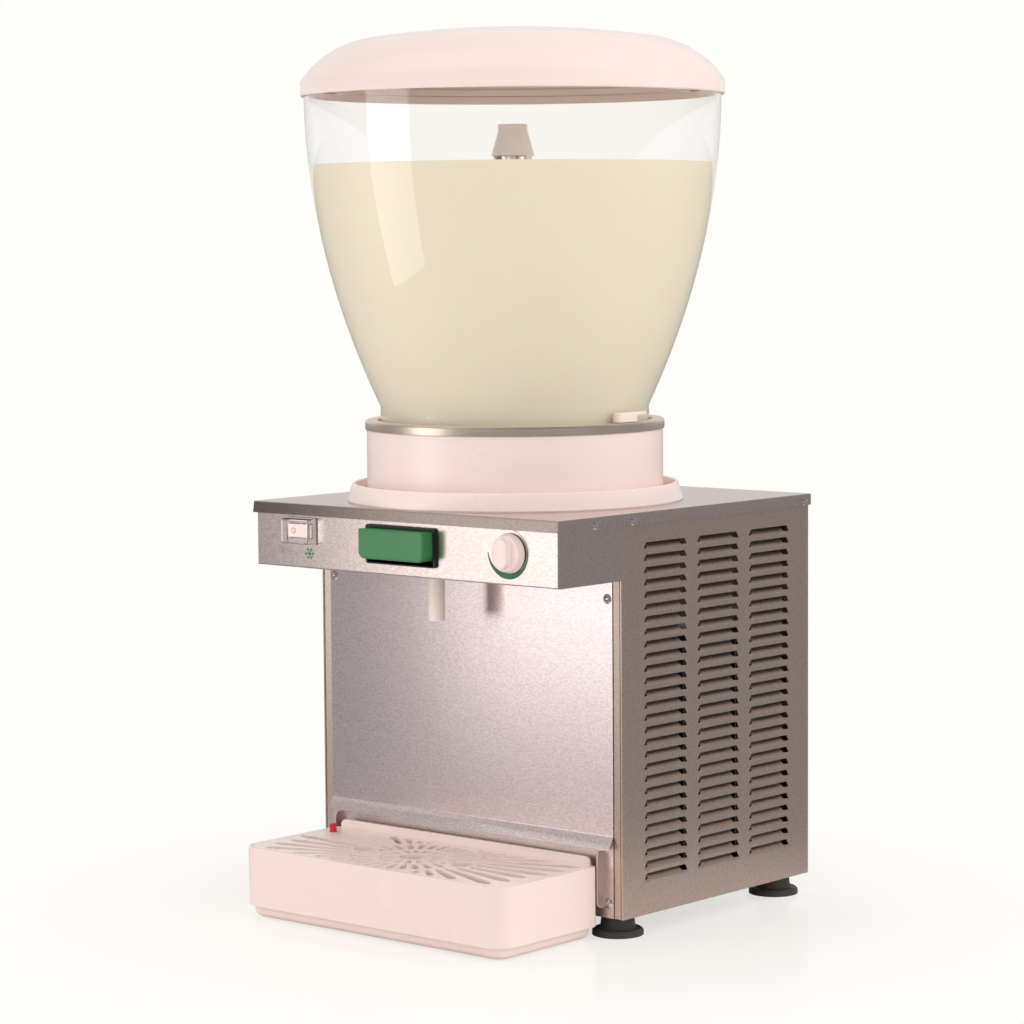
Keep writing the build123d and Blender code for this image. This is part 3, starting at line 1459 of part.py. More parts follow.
# Fan: shroud on the condenser, blades and motor
fan_y = (condenser_front + condenser_back) / 2
fan_z = (condenser_low + condenser_top) / 2
shroud_x = condenser_left - shroud_depth
shroud_wall = 2 * fin_thickness
with BuildPart() as fan_shroud:
    block((shroud_x, condenser_left), (condenser_front, condenser_back), (condenser_low, condenser_top))
    block(
        (shroud_x + shroud_wall, condenser_left),
        (condenser_front + shroud_wall, condenser_back - shroud_wall),
        (condenser_low + shroud_wall, condenser_top - shroud_wall),
        Mode.SUBTRACT,
    )
    rod(
        (shroud_x, fan_y, fan_z),
        (shroud_x + shroud_wall, fan_y, fan_z),
        fan_radius + fan_gap,
        Mode.SUBTRACT,
    )
fan_shroud.part.label = "fan_shroud"
export_step(fan_shroud.part, "parts/fan_shroud.step")

fan_hub_x = shroud_x - fan_hub_length / 2
fan_motor_x = fan_hub_x - fan_motor_gap
fan_socket = fan_motor_length / 3
with BuildPart() as fan_blades:
    rod((fan_hub_x, fan_y, fan_z), (fan_hub_x + fan_hub_length, fan_y, fan_z), fan_hub_radius)
    blade_plane = Plane(origin=(shroud_x, fan_y, fan_z), x_dir=(0, 1, 0), z_dir=(1, 0, 0))
    blade_reach = fan_radius - fan_hub_radius / 2
    blade_place = fan_hub_radius / 2 + blade_reach / 2
    with Locations(blade_plane):
        with PolarLocations(0, fan_blade_count):
            with Locations(Location((blade_place, 0, 0), (fan_blade_angle, 0, 0))):
                Box(blade_reach, 2 * fan_hub_radius, fan_blade_thickness)
    rod((fan_hub_x, fan_y, fan_z), (fan_hub_x + fan_hub_length, fan_y, fan_z), fan_radius, Mode.INTERSECT)
    rod((fan_motor_x - fan_socket, fan_y, fan_z), (fan_hub_x, fan_y, fan_z), fan_shaft_radius)
fan_blades.part.label = "fan_blades"
export_step(fan_blades.part, "parts/fan_blades.step")

with BuildPart() as fan_motor:
    motor_back_x = fan_motor_x - fan_motor_length
    rod((motor_back_x, fan_y, fan_z), (fan_motor_x, fan_y, fan_z), fan_motor_radius)
    arm_reach = fan_radius + 2 * fan_gap + fan_motor_gap
    arm_x = (fan_motor_x - 2 * fan_motor_gap, fan_motor_x - fan_motor_gap)
    post_x = (fan_motor_x - 2 * fan_motor_gap, shroud_x)
    half_arm = fan_motor_gap
    block(arm_x, (fan_y - arm_reach, fan_y + arm_reach), (fan_z - half_arm, fan_z + half_arm))
    for side in both_sides:
        post_y = sorted((fan_y + side * (arm_reach - fan_motor_gap), fan_y + side * arm_reach))
        block(post_x, post_y, (fan_z - half_arm, fan_z + half_arm))
    rod(
        (fan_motor_x - fan_socket, fan_y, fan_z),
        (fan_motor_x, fan_y, fan_z),
        fan_shaft_radius + running_gap,
        Mode.SUBTRACT,
    )
fan_motor.part.label = "fan_motor"
export_step(fan_motor.part, "parts/fan_motor.step")

# Refrigerant line: discharge pipe, liquid pipe, filter drier, capillary and suction pipe
tube_end_y = condenser_front - tube_turn
line_y = tube_end_y - 2 * pipe_bend
crossing_z = condenser_top + pipe_bend
discharge_path = [
    (discharge_x, stub_y + stub_length, discharge_z),
    (discharge_x, line_y, discharge_z),
    (discharge_x, line_y, crossing_z),
    (condenser_x, line_y, crossing_z),
    (condenser_x, line_y, tube_zs[0]),
    (condenser_x, tube_end_y, tube_zs[0]),
]
with BuildPart() as discharge_pipe:
    with BuildLine():
        FilletPolyline(*discharge_path, radius=pipe_bend)
    with BuildSketch(Plane(origin=discharge_path[0], z_dir=(0, -1, 0))):
        Circle(pipe_radius)
    sweep()
discharge_pipe.part.label = "discharge_pipe"
export_step(discharge_pipe.part, "parts/discharge_pipe.step")

drier_z = tube_zs[-1]
drier_right = condenser_left - pipe_bend
drier_left = drier_right - drier_length
liquid_path = [
    (condenser_x, tube_end_y, drier_z),
    (condenser_x, line_y, drier_z),
    (drier_right, line_y, drier_z),
]
with BuildPart() as liquid_pipe:
    with BuildLine():
        FilletPolyline(*liquid_path, radius=pipe_bend)
    with BuildSketch(Plane(origin=liquid_path[0], z_dir=(0, -1, 0))):
        Circle(pipe_radius)
    sweep()
liquid_pipe.part.label = "liquid_pipe"
export_step(liquid_pipe.part, "parts/liquid_pipe.step")

with BuildPart() as filter_drier:
    rod((drier_left, line_y, drier_z), (drier_right, line_y, drier_z), drier_radius)
    chamfer(filter_drier.edges().filter_by(GeomType.CIRCLE), drier_radius / 2)
filter_drier.part.label = "filter_drier"
export_step(filter_drier.part, "parts/filter_drier.step")

capillary_path = [
    (drier_left, line_y, drier_z),
    (coil_in_x, line_y, drier_z),
    (coil_in_x, line_y, coil_tail_z - coil_tail),
    (coil_in_x, coil_in_y, coil_tail_z - coil_tail),
    (coil_in_x, coil_in_y, coil_tail_z),
]
with BuildPart() as capillary_pipe:
    with BuildLine():
        FilletPolyline(*capillary_path, radius=pipe_bend)
    with BuildSketch(Plane(origin=capillary_path[0], z_dir=(-1, 0, 0))):
        Circle(capillary_radius)
    sweep()
capillary_pipe.part.label = "capillary_pipe"
export_step(capillary_pipe.part, "parts/capillary_pipe.step")

suction_path = [
    (coil_out_x, coil_out_y, coil_tail_z - slide_gap / 2),
    (coil_out_x, coil_out_y, suction_z),
    (coil_out_x, stub_y + stub_length, suction_z),
]
with BuildPart() as suction_pipe:
    with BuildLine():
        FilletPolyline(*suction_path, radius=pipe_bend)
    with BuildSketch(Plane(origin=suction_path[0], z_dir=(0, 0, -1))):
        Circle(pipe_radius)
    sweep()
suction_pipe.part.label = "suction_pipe"
export_step(suction_pipe.part, "parts/suction_pipe.step")

# Terminal block on the pan and the recessed power inlet on the rear panel
terminal_x = side_x / 4
terminal_y = back_y - condenser_setback
with BuildPart() as terminal_block:
    terminal_z = (pan_top, pan_top + terminal_height)
    terminal_xs = (terminal_x, terminal_x + terminal_width)
    block(terminal_xs, (terminal_y - terminal_depth, terminal_y), terminal_z)
    for step in range(3):
        hole_x = terminal_x + terminal_width * (step + 0.5) / 3
        hole_y = terminal_y - terminal_depth / 2
        rod(
            (hole_x, hole_y, pan_top + terminal_height / 2),
            (hole_x, hole_y, pan_top + terminal_height),
            terminal_hole_radius,
            Mode.SUBTRACT,
        )
terminal_block.part.label = "terminal_block"
export_step(terminal_block.part, "parts/terminal_block.step")

with BuildPart() as power_inlet:
    block(
        (inlet_x - inlet_width / 2, inlet_x + inlet_width / 2),
        (back_y, back_y + inlet_flange),
        (inlet_z - inlet_height / 2, inlet_z + inlet_height / 2),
    )
    fillet(power_inlet.edges().filter_by(Axis.Y), inlet_corner)
    throat_x = inlet_width / 2 - 4 * inlet_flange
    throat_z = inlet_height / 2 - 2 * inlet_flange
    block(
        (inlet_x - throat_x, inlet_x + throat_x),
        (back_y - inlet_depth, back_y),
        (inlet_z - throat_z, inlet_z + throat_z),
    )
    block(
        (inlet_x - throat_x + inlet_flange, inlet_x + throat_x - inlet_flange),
        (back_y - inlet_depth + 2 * inlet_flange, back_y + inlet_flange),
        (inlet_z - throat_z + inlet_flange, inlet_z + throat_z - inlet_flange),
        Mode.SUBTRACT,
    )
    for step in (-1, 0, 1):
        pin_x = inlet_x + step * throat_x / 2
        pin_z = inlet_z + (abs(step) - 0.5) * inlet_pin_rise
        block(
            (pin_x - inlet_flange / 2, pin_x + inlet_flange / 2),
            (back_y - inlet_depth + inlet_flange, back_y - inlet_depth / 2),
            (pin_z - inlet_flange, pin_z + inlet_flange),
        )
power_inlet.part.label = "power_inlet"
export_step(power_inlet.part, "parts/power_inlet.step")
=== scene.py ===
import json
from math import acos, atan2, cos, exp, pi, radians, sin, tan

import bpy
from mathutils import Matrix, Vector

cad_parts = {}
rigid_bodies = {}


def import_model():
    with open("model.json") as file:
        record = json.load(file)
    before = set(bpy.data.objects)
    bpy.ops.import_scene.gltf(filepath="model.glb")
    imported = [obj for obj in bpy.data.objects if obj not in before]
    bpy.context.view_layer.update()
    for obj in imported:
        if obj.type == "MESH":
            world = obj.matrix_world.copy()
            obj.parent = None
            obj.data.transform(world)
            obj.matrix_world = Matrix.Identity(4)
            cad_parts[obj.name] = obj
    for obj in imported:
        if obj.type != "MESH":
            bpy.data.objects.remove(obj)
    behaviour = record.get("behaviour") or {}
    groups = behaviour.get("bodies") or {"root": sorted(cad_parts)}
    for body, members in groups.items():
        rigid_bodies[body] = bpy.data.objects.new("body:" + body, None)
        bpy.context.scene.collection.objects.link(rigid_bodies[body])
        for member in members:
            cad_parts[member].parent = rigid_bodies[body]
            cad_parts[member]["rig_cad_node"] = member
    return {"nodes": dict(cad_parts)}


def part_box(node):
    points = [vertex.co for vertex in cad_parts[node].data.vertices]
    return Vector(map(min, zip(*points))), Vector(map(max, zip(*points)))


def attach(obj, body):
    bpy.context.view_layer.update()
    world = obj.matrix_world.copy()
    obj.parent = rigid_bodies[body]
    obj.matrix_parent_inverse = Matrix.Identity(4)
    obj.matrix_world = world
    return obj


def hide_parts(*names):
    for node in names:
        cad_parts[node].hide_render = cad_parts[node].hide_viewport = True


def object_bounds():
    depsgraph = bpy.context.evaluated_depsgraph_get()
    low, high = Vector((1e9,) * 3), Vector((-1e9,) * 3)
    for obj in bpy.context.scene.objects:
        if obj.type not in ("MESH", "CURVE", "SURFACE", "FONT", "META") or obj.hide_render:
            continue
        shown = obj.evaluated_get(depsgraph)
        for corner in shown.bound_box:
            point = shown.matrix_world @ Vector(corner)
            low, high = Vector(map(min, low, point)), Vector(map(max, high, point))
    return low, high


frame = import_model()
cad_low, cad_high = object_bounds()
nodes = frame["nodes"]

# Sizes taken from the frame, in metres
MM = 0.001
plate_low, plate_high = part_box("top_plate")
head_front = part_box("control_head")[0].y
panel_low, panel_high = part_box("right_side_panel")
bowl_low, bowl_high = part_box("bowl")
neck_low, neck_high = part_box("bowl_neck")
lid_low, lid_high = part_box("lid")
collar_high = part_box("collar")[1]
cup_low, cup_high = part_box("evaporator_cup")
knob_low, knob_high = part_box("knob")
switch_low, switch_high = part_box("switch_body")
rocker_low, rocker_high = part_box("rocker")
axis_x = (bowl_low.x + bowl_high.x) / 2
axis_y = (bowl_low.y + bowl_high.y) / 2
plate_top = plate_high.z
rim_top = cup_high.z

# Fineness of the modelled pieces
lathe_steps = 144
weld_gap = 1e-5
smooth_angle = radians(38)
flat_angle = radians(0.5)
sharp_angle = radians(40)
edge_segments = 2


# Modelling helpers

def deselect_all():
    """Leave edit mode and select nothing."""
    if bpy.context.object and bpy.context.object.mode != "OBJECT":
        bpy.ops.object.mode_set(mode="OBJECT")
    bpy.ops.object.select_all(action="DESELECT")


def select_only(piece):
    """Make one piece the only selected one."""
    deselect_all()
    piece.select_set(True)
    bpy.context.view_layer.objects.active = piece


def edit_where(piece, test, kind="VERT"):
    """Enter edit mode with the vertices, edges or faces selected whose every corner passes the test."""
    select_only(piece)
    mesh = piece.data
    chosen = [test(vertex.co) for vertex in mesh.vertices]
    for part in (mesh.vertices, mesh.edges, mesh.polygons):
        part.foreach_set("select", [False] * len(part))
    groups = {"VERT": mesh.vertices, "EDGE": mesh.edges, "FACE": mesh.polygons}
    for item in groups[kind]:
        corners = [item.index] if kind == "VERT" else item.vertices
        item.select = all(chosen[corner] for corner in corners)
    bpy.ops.object.mode_set(mode="EDIT")
    bpy.ops.mesh.select_mode(type=kind)


def close_edit():
    """Merge doubles, turn the faces outwards and leave edit mode."""
    bpy.ops.mesh.select_all(action="SELECT")
    bpy.ops.mesh.remove_doubles(threshold=weld_gap)
    bpy.ops.mesh.normals_make_consistent(inside=False)
    bpy.ops.object.mode_set(mode="OBJECT")


def apply_place(piece):
    """Write the object's place into its mesh."""
    select_only(piece)
    bpy.ops.object.transform_apply(location=True, rotation=True, scale=True)


def smooth_faces(piece, angle=smooth_angle):
    """Shade smooth across every edge flatter than the angle."""
    select_only(piece)
    bpy.ops.object.shade_smooth_by_angle(angle=angle)


def apply_modifier(piece, kind, **settings):
    """Add a modifier with its settings and apply it."""
    select_only(piece)
    modifier = piece.modifiers.new(kind.title(), kind)
    for key, value in settings.items():
        setattr(modifier, key, value)
    bpy.ops.object.modifier_apply(modifier=modifier.name)


def rounded_outline(corners, steps=5):
    """Outline through corners given as (radius, height, rounding), each rounding drawn as an arc."""
    outline = []
    last = len(corners) - 1
    for index, (across, up, rounding) in enumerate(corners):
        here = Vector((across, up))
        if not rounding or index in (0, last):
            outline.append(tuple(here))
            continue
        before = Vector(corners[index - 1][:2]) - here
        after = Vector(corners[index + 1][:2]) - here
        half = acos(max(-1, min(1, before.normalized().dot(after.normalized())))) / 2
        reach = rounding / tan(half)
        start = here + before.normalized() * reach
        stop = here + after.normalized() * reach
        middle = here + (before.normalized() + after.normalized()).normalized() * rounding / sin(half)
        first = atan2(start.y - middle.y, start.x - middle.x)
        sweep = atan2(stop.y - middle.y, stop.x - middle.x) - first
        sweep = (sweep + pi) % (2 * pi) - pi
        for step in range(steps + 1):
            angle = first + sweep * step / steps
            outline.append((middle.x + rounding * cos(angle), middle.y + rounding * sin(angle)))
    return outline


def arc_through(start, middle, stop, steps):
    """Points of the circular arc that runs from a start through a middle point to a stop."""
    (ax, ay), (bx, by), (cx, cy) = start, middle, stop
    spread = 2 * (ax * (by - cy) + bx * (cy - ay) + cx * (ay - by))
    a_square, b_square, c_square = ax**2 + ay**2, bx**2 + by**2, cx**2 + cy**2
    centre_x = (a_square * (by - cy) + b_square * (cy - ay) + c_square * (ay - by)) / spread
    centre_y = (a_square * (cx - bx) + b_square * (ax - cx) + c_square * (bx - ax)) / spread
    radius = ((ax - centre_x) ** 2 + (ay - centre_y) ** 2) ** 0.5
    first = atan2(ay - centre_y, ax - centre_x)
    sweep = (atan2(cy - centre_y, cx - centre_x) - first + pi) % (2 * pi) - pi
    turns = [first + sweep * step / steps for step in range(steps + 1)]
    return [(centre_x + radius * cos(turn), centre_y + radius * sin(turn)) for turn in turns]


def lathe(name, outline, steps=lathe_steps):
    """Extrude one vertex along an outline of (radius, height) points and spin it round the bowl's axis."""
    deselect_all()
    across, up = outline[0]
    bpy.ops.mesh.primitive_plane_add(size=MM, location=(axis_x + across, axis_y, up))
    piece = bpy.context.object
    piece.name = name
    bpy.ops.object.mode_set(mode="EDIT")
    bpy.ops.mesh.select_mode(type="VERT")
    bpy.ops.mesh.merge(type="CENTER")
    for (near, low), (far, high) in zip(outline, outline[1:]):
        bpy.ops.mesh.extrude_region_move(TRANSFORM_OT_translate={"value": (far - near, 0, high - low)})
    bpy.ops.mesh.select_all(action="SELECT")
    bpy.ops.mesh.remove_doubles(threshold=weld_gap)
    bpy.ops.mesh.select_all(action="SELECT")
    bpy.ops.mesh.spin(steps=steps, angle=2 * pi, center=(axis_x, axis_y, 0), axis=(0, 0, 1))
    close_edit()
    apply_place(piece)
    smooth_faces(piece)
    return piece


def softened(node, name, edge_width, sharp=sharp_angle):
    """Merged copy of a CAD node with its sharp edges rounded off."""
    select_only(nodes[node])
    bpy.ops.object.duplicate()
    piece = bpy.context.object
    piece.name = name
    del piece["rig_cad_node"]
    bpy.ops.object.mode_set(mode="EDIT")
    bpy.ops.mesh.select_all(action="SELECT")
    bpy.ops.mesh.remove_doubles(threshold=weld_gap)
    bpy.ops.mesh.dissolve_limited(angle_limit=flat_angle)
    bpy.ops.object.mode_set(mode="OBJECT")
    if edge_width:
        apply_modifier(
            piece,
            "BEVEL",
            width=edge_width,
            segments=edge_segments,
            limit_method="ANGLE",
            angle_limit=sharp,
            use_clamp_overlap=True,
        )
    smooth_faces(piece)
    apply_modifier(piece, "WEIGHTED_NORMAL", keep_sharp=True, weight=100)
    return piece


def finish_piece(piece, body, finish, slot, *replaced):
    """Give a piece its material and its body, and hide the CAD nodes it stands for; the slot is not used."""
    piece.data.materials.clear()
    piece.data.materials.append(finish)
    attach(piece, body)
    if replaced:
        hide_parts(*replaced)
    return piece


# Materials

def linear(red, green, blue):
    """Shader colour of an on-screen colour given in steps of 255."""
    def channel(value):
        value /= 255
        return value / 12.92 if value <= 0.04045 else ((value + 0.055) / 1.055) ** 2.4
    return channel(red), channel(green), channel(blue), 1.0


def new_finish(name):
    """Empty material with its node tree and shader."""
    finish = bpy.data.materials.new(name)
    finish.use_nodes = True
    tree = finish.node_tree
    return finish, tree, tree.nodes["Principled BSDF"]


def grain_noise(tree, scale, detail=4.0):
    """Noise over Object coordinates, stretched by a scale along each axis."""
    place = tree.nodes.new("ShaderNodeTexCoord")
    stretch = tree.nodes.new("ShaderNodeMapping")
    stretch.inputs["Scale"].default_value = scale
    noise = tree.nodes.new("ShaderNodeTexNoise")
    noise.inputs["Scale"].default_value = 1.0
    noise.inputs["Detail"].default_value = detail
    tree.links.new(place.outputs["Object"], stretch.inputs["Vector"])
    tree.links.new(stretch.outputs["Vector"], noise.inputs["Vector"])
    return noise.outputs["Fac"]


def colour_between(tree, factor, shader, dark, light, low=0.3, high=0.7):
    """Colour the shader from dark to light by a noise."""
    ramp = tree.nodes.new("ShaderNodeValToRGB")
    ramp.color_ramp.elements[0].position = low
    ramp.color_ramp.elements[0].color = dark
    ramp.color_ramp.elements[1].position = high
    ramp.color_ramp.elements[1].color = light
    tree.links.new(factor, ramp.inputs["Fac"])
    tree.links.new(ramp.outputs["Color"], shader.inputs["Base Color"])


def gloss_between(tree, factor, shader, smooth, rough):
    """Vary the roughness by a noise."""
    spread = tree.nodes.new("ShaderNodeMapRange")
    spread.inputs["From Min"].default_value = 0.0
    spread.inputs["From Max"].default_value = 1.0
    spread.inputs["To Min"].default_value = smooth
    spread.inputs["To Max"].default_value = rough
    tree.links.new(factor, spread.inputs["Value"])
    tree.links.new(spread.outputs["Result"], shader.inputs["Roughness"])


def bump_by(tree, factor, shader, strength, depth):
    """Raise the surface a little by a noise."""
    bump = tree.nodes.new("ShaderNodeBump")
    bump.inputs["Strength"].default_value = strength
    bump.inputs["Distance"].default_value = depth
    tree.links.new(factor, bump.inputs["Height"])
    tree.links.new(bump.outputs["Normal"], shader.inputs["Normal"])


def shade(colour, share):
    """The same colour, a share as bright."""
    return tuple(channel * share for channel in colour[:3]) + (1.0,)


def moulded_plastic(name, colour, roughness, mottle=0.985, bump=0.03):
    """Moulded plastic: faint mottling, uneven gloss and a fine moulded skin."""
    finish, tree, shader = new_finish(name)
    cloud = grain_noise(tree, (14, 14, 14), 1.0)
    skin = grain_noise(tree, (350, 350, 350), 2.0)
    colour_between(tree, cloud, shader, shade(colour, mottle), colour, 0.0, 1.0)
    gloss_between(tree, cloud, shader, roughness * 0.85, roughness * 1.15)
    bump_by(tree, skin, shader, bump, 0.1 * MM)
    return finish


def brushed_steel(name, along, colour, roughness, stretch=0.0):
    """Brushed stainless sheet with its grain along one axis."""
    finish, tree, shader = new_finish(name)
    grain_across, grain_along = 800.0, 380.0
    band_across, band_along = 260.0, 9.0
    grain_dark = 0.84
    quarter_turn = 0.25
    fine = [grain_along if axis == along else grain_across for axis in "xyz"]
    broad = [band_along if axis == along else band_across for axis in "xyz"]
    streaks = grain_noise(tree, fine, 0.5)
    bands = grain_noise(tree, broad, 2.0)
    colour_between(tree, streaks, shader, shade(colour, grain_dark), colour)
    gloss_between(tree, bands, shader, roughness * 0.95, roughness * 1.05)
    shader.inputs["Anisotropic"].default_value = stretch
    shader.inputs["Anisotropic Rotation"].default_value = quarter_turn
    shader.inputs["Metallic"].default_value = 1.0
    return finish


def bare_metal(name, colour, roughness):
    """Plain metal with a slightly uneven, handled surface."""
    finish, tree, shader = new_finish(name)
    cloud = grain_noise(tree, (60, 60, 60), 2.0)
    colour_between(tree, cloud, shader, shade(colour, 0.95), colour)
    gloss_between(tree, cloud, shader, roughness * 0.92, roughness * 1.08)
    shader.inputs["Metallic"].default_value = 1.0
    return finish


def clear_plastic(name, roughness):
    """Clear polished plastic that lets light through to what it covers."""
    finish, tree, shader = new_finish(name)
    cloud = grain_noise(tree, (25, 25, 25), 2.0)
    gloss_between(tree, cloud, shader, roughness * 0.6, roughness * 1.4)
    shader.inputs["Base Color"].default_value = (0.998, 0.998, 0.995, 1.0)
    shader.inputs["Transmission Weight"].default_value = 1.0
    shader.inputs["IOR"].default_value = 1.49
    shader.inputs["Specular IOR Level"].default_value = 0.3
    passing = tree.nodes.new("ShaderNodeBsdfTransparent")
    rays = tree.nodes.new("ShaderNodeLightPath")
    mix = tree.nodes.new("ShaderNodeMixShader")
    output = tree.nodes["Material Output"]
    lighting = tree.nodes.new("ShaderNodeMath")
    lighting.operation = "MAXIMUM"
    tree.links.new(rays.outputs["Is Shadow Ray"], lighting.inputs[0])
    tree.links.new(rays.outputs["Is Diffuse Ray"], lighting.inputs[1])
    tree.links.new(lighting.outputs["Value"], mix.inputs["Fac"])
    tree.links.new(shader.outputs["BSDF"], mix.inputs[1])
    tree.links.new(passing.outputs["BSDF"], mix.inputs[2])
    tree.links.new(mix.outputs["Shader"], output.inputs["Surface"])
    return finish


def creamy_drink(name, colour):
    """Opaque creamy drink with faint clouds and a little light under its skin."""
    finish, tree, shader = new_finish(name)
    cloud = grain_noise(tree, (7, 7, 10), 1.0)
    colour_between(tree, cloud, shader, shade(colour, 0.985), colour, 0.0, 1.0)
    gloss_between(tree, cloud, shader, 0.28, 0.32)
    shader.inputs["Subsurface Weight"].default_value = 0.3
    shader.inputs["Subsurface Scale"].default_value = 0.01
    return finish


white_plastic = moulded_plastic("white moulded plastic", linear(246, 227, 221), 0.26)
lid_plastic = moulded_plastic("glossy white plastic", linear(246, 228, 221), 0.12)
# The stirrer's hub is painted whiter than the other white plastic: painted light for the light that reaches
# it through the bowl
hub_plastic_painted_light = moulded_plastic("hub plastic painted brighter as light", linear(255, 250, 243), 0.30)
green_plastic = moulded_plastic("green handle plastic", linear(56, 128, 76), 0.32)
red_plastic = moulded_plastic("red float plastic", linear(205, 40, 38), 0.30)
black_plastic = moulded_plastic("black plastic", linear(24, 24, 25), 0.40)
grey_plastic = moulded_plastic("grey valve plastic", linear(170, 170, 168), 0.45)
silicone = moulded_plastic("milky silicone", linear(248, 234, 226), 0.42)
black_rubber = moulded_plastic("black rubber", linear(66, 62, 57), 0.55, 0.9, 0.2)
foam = moulded_plastic("rigid foam", linear(226, 212, 164), 0.85, 0.9, 0.4)
enamel = moulded_plastic("black enamel", linear(20, 20, 21), 0.25)
motor_paint = moulded_plastic("grey motor paint", linear(118, 120, 122), 0.45)
front_steel = brushed_steel("steel brushed across", "x", linear(222, 207, 203), 0.26)
# Same stainless sheet as the head, painted brighter: painted light for the lamp the splash panel mirrors
splash_steel_painted_light = brushed_steel("steel of the splash panel painted brighter as light", "x", linear(242, 226, 226), 0.27, 0.60)
lower_steel = brushed_steel("steel behind the tray", "x", linear(238, 222, 216), 0.38, 0.5)
# Darker copy of the front steel for the lip's front faces: painted shade for the dark the lip mirrors
lip_shaded_steel = brushed_steel("steel of the folded lip painted darker as shade", "x", linear(142, 130, 125), 0.22)
side_steel = brushed_steel("steel brushed front to back", "y", linear(222, 202, 190), 0.34)
rim_steel = bare_metal("rolled rim steel", linear(238, 222, 208), 0.34)
zinc_steel = bare_metal("zinc sheet", linear(188, 190, 190), 0.42)
bright_steel = bare_metal("bright screw steel", linear(222, 214, 208), 0.18)
copper = bare_metal("bare copper", linear(202, 128, 92), 0.30)
aluminium = bare_metal("fin aluminium", linear(206, 208, 210), 0.38)
clear_bowl = clear_plastic("clear bowl plastic", 0.02)
clear_cover = clear_plastic("clear cover plastic", 0.05)
drink_finish = creamy_drink("creamy drink", linear(234, 225, 202))
print_green = moulded_plastic("green print", linear(40, 118, 72), 0.5)
print_grey = moulded_plastic("grey print", linear(150, 146, 142), 0.5)
print_pale = moulded_plastic("pale green print", linear(146, 150, 128), 0.5)
switch_grey = moulded_plastic("grey switch plastic", linear(176, 164, 164), 0.35)


# CAD nodes that keep their shape

kept_finishes = {
    zinc_steel: ["floor_pan", "mixer_bracket", "lever_bracket", "fan_shroud", "return_spring"],
    bright_steel: ["drive_shaft", "lever_pin", "catch_pins", "thermostat_shaft"],
    black_plastic: ["power_inlet", "thermostat", "shaft_bushes", "handle_bezel"],
    grey_plastic: ["dispense_lever", "valve_anvil", "terminal_block", "outlet_nipple", "fan_blades"],
    switch_grey: ["switch_body"],
    black_rubber: ["compressor_grommets", "bowl_gasket", "feet"],
    copper: [
        "evaporator_coil", "condenser_tube", "discharge_pipe", "liquid_pipe",
        "capillary_pipe", "suction_pipe", "filter_drier",
    ],
    aluminium: ["condenser_fins"],
    enamel: ["compressor"],
    motor_paint: ["mixer_motor", "fan_motor"],
    foam: ["collar_insulation"],
    white_plastic: [
        "collar", "lid", "stirrer", "left_catch", "right_catch", "knob", "drip_tray",
        "tray_grille", "rocker",
    ],
    front_steel: ["top_plate", "control_head", "rear_panel", "splash_panel", "lower_front_panel"],
    side_steel: ["left_side_panel", "right_side_panel"],
    rim_steel: ["evaporator_cup", "standpipe", "lip_screws", "panel_screws"],
    clear_bowl: ["bowl", "bowl_neck"],
    clear_cover: ["switch_cover"],
    green_plastic: ["handle"],
    red_plastic: ["float_indicator"],
    silicone: ["spout_tube"],
}
for finish, names in kept_finishes.items():
    for name in names:
        nodes[name].data.materials.clear()
        nodes[name].data.materials.append(finish)


# Pieces copied from the CAD with softened edges

softened_pieces = [
    ("top_plate", "plate_folded", 0.3 * MM, "cabinet", front_steel, "brushed_steel"),
    ("control_head", "head_folded", 0.3 * MM, "cabinet", front_steel, "brushed_steel"),
    ("splash_panel", "splash_sheet", 0.25 * MM, "cabinet", splash_steel_painted_light, "brushed_steel"),
    ("lower_front_panel", "lower_sheet", 0.25 * MM, "cabinet", lower_steel, "brushed_steel"),
    ("handle", "handle_grip", 0.6 * MM, "handle", green_plastic, "green_plastic"),
    ("handle_bezel", "handle_frame", 0.3 * MM, "cabinet", black_plastic, "black_plastic"),
    ("switch_body", "switch_frame", 0.4 * MM, "cabinet", switch_grey, "grey_plastic"),
    ("rocker", "switch_rocker", 0.4 * MM, "rocker", white_plastic, "white_plastic"),
    ("switch_cover", "switch_shield", 0.2 * MM, "cabinet", clear_cover, "clear_plastic"),
    ("knob", "bar_knob", 0.5 * MM, "knob", white_plastic, "white_plastic"),
    ("drip_tray", "tray_body", 0.7 * MM, "tray", white_plastic, "white_plastic"),
    ("tray_grille", "sunburst_grille", 0.0, "grille", white_plastic, "white_plastic"),
    ("float_indicator", "level_float", 0.2 * MM, "float", red_plastic, "red_plastic"),
    ("spout_tube", "spout_hose", 0.4 * MM, "cabinet", silicone, "silicone"),
    ("right_catch", "right_bowl_catch", 0.7 * MM, "right_catch", white_plastic, "white_plastic"),
    ("left_catch", "left_bowl_catch", 0.7 * MM, "left_catch", white_plastic, "white_plastic"),
    ("stirrer", "stirrer_frame", 0.4 * MM, "stirrer", hub_plastic_painted_light, "white_plastic"),
    ("feet", "push_in_feet", 0.4 * MM, "cabinet", black_rubber, "dark_rubber"),
    ("lip_screws", "lip_screw_heads", 0.0, "cabinet", bright_steel, "bright_steel"),
    ("panel_screws", "panel_screw_heads", 0.0, "cabinet", bright_steel, "bright_steel"),
    ("rear_panel", "rear_sheet", 0.2 * MM, "cabinet", front_steel, "brushed_steel"),
    ("standpipe", "stirrer_pipe", 0.2 * MM, "cabinet", rim_steel, "brushed_steel"),
]
bend_angle = {"splash_panel": radians(20)}
for node, name, edge_width, body, finish, slot in softened_pieces:
    piece = softened(node, name, edge_width, sharp=bend_angle.get(node, sharp_angle))
    finish_piece(piece, body, finish, slot, node)


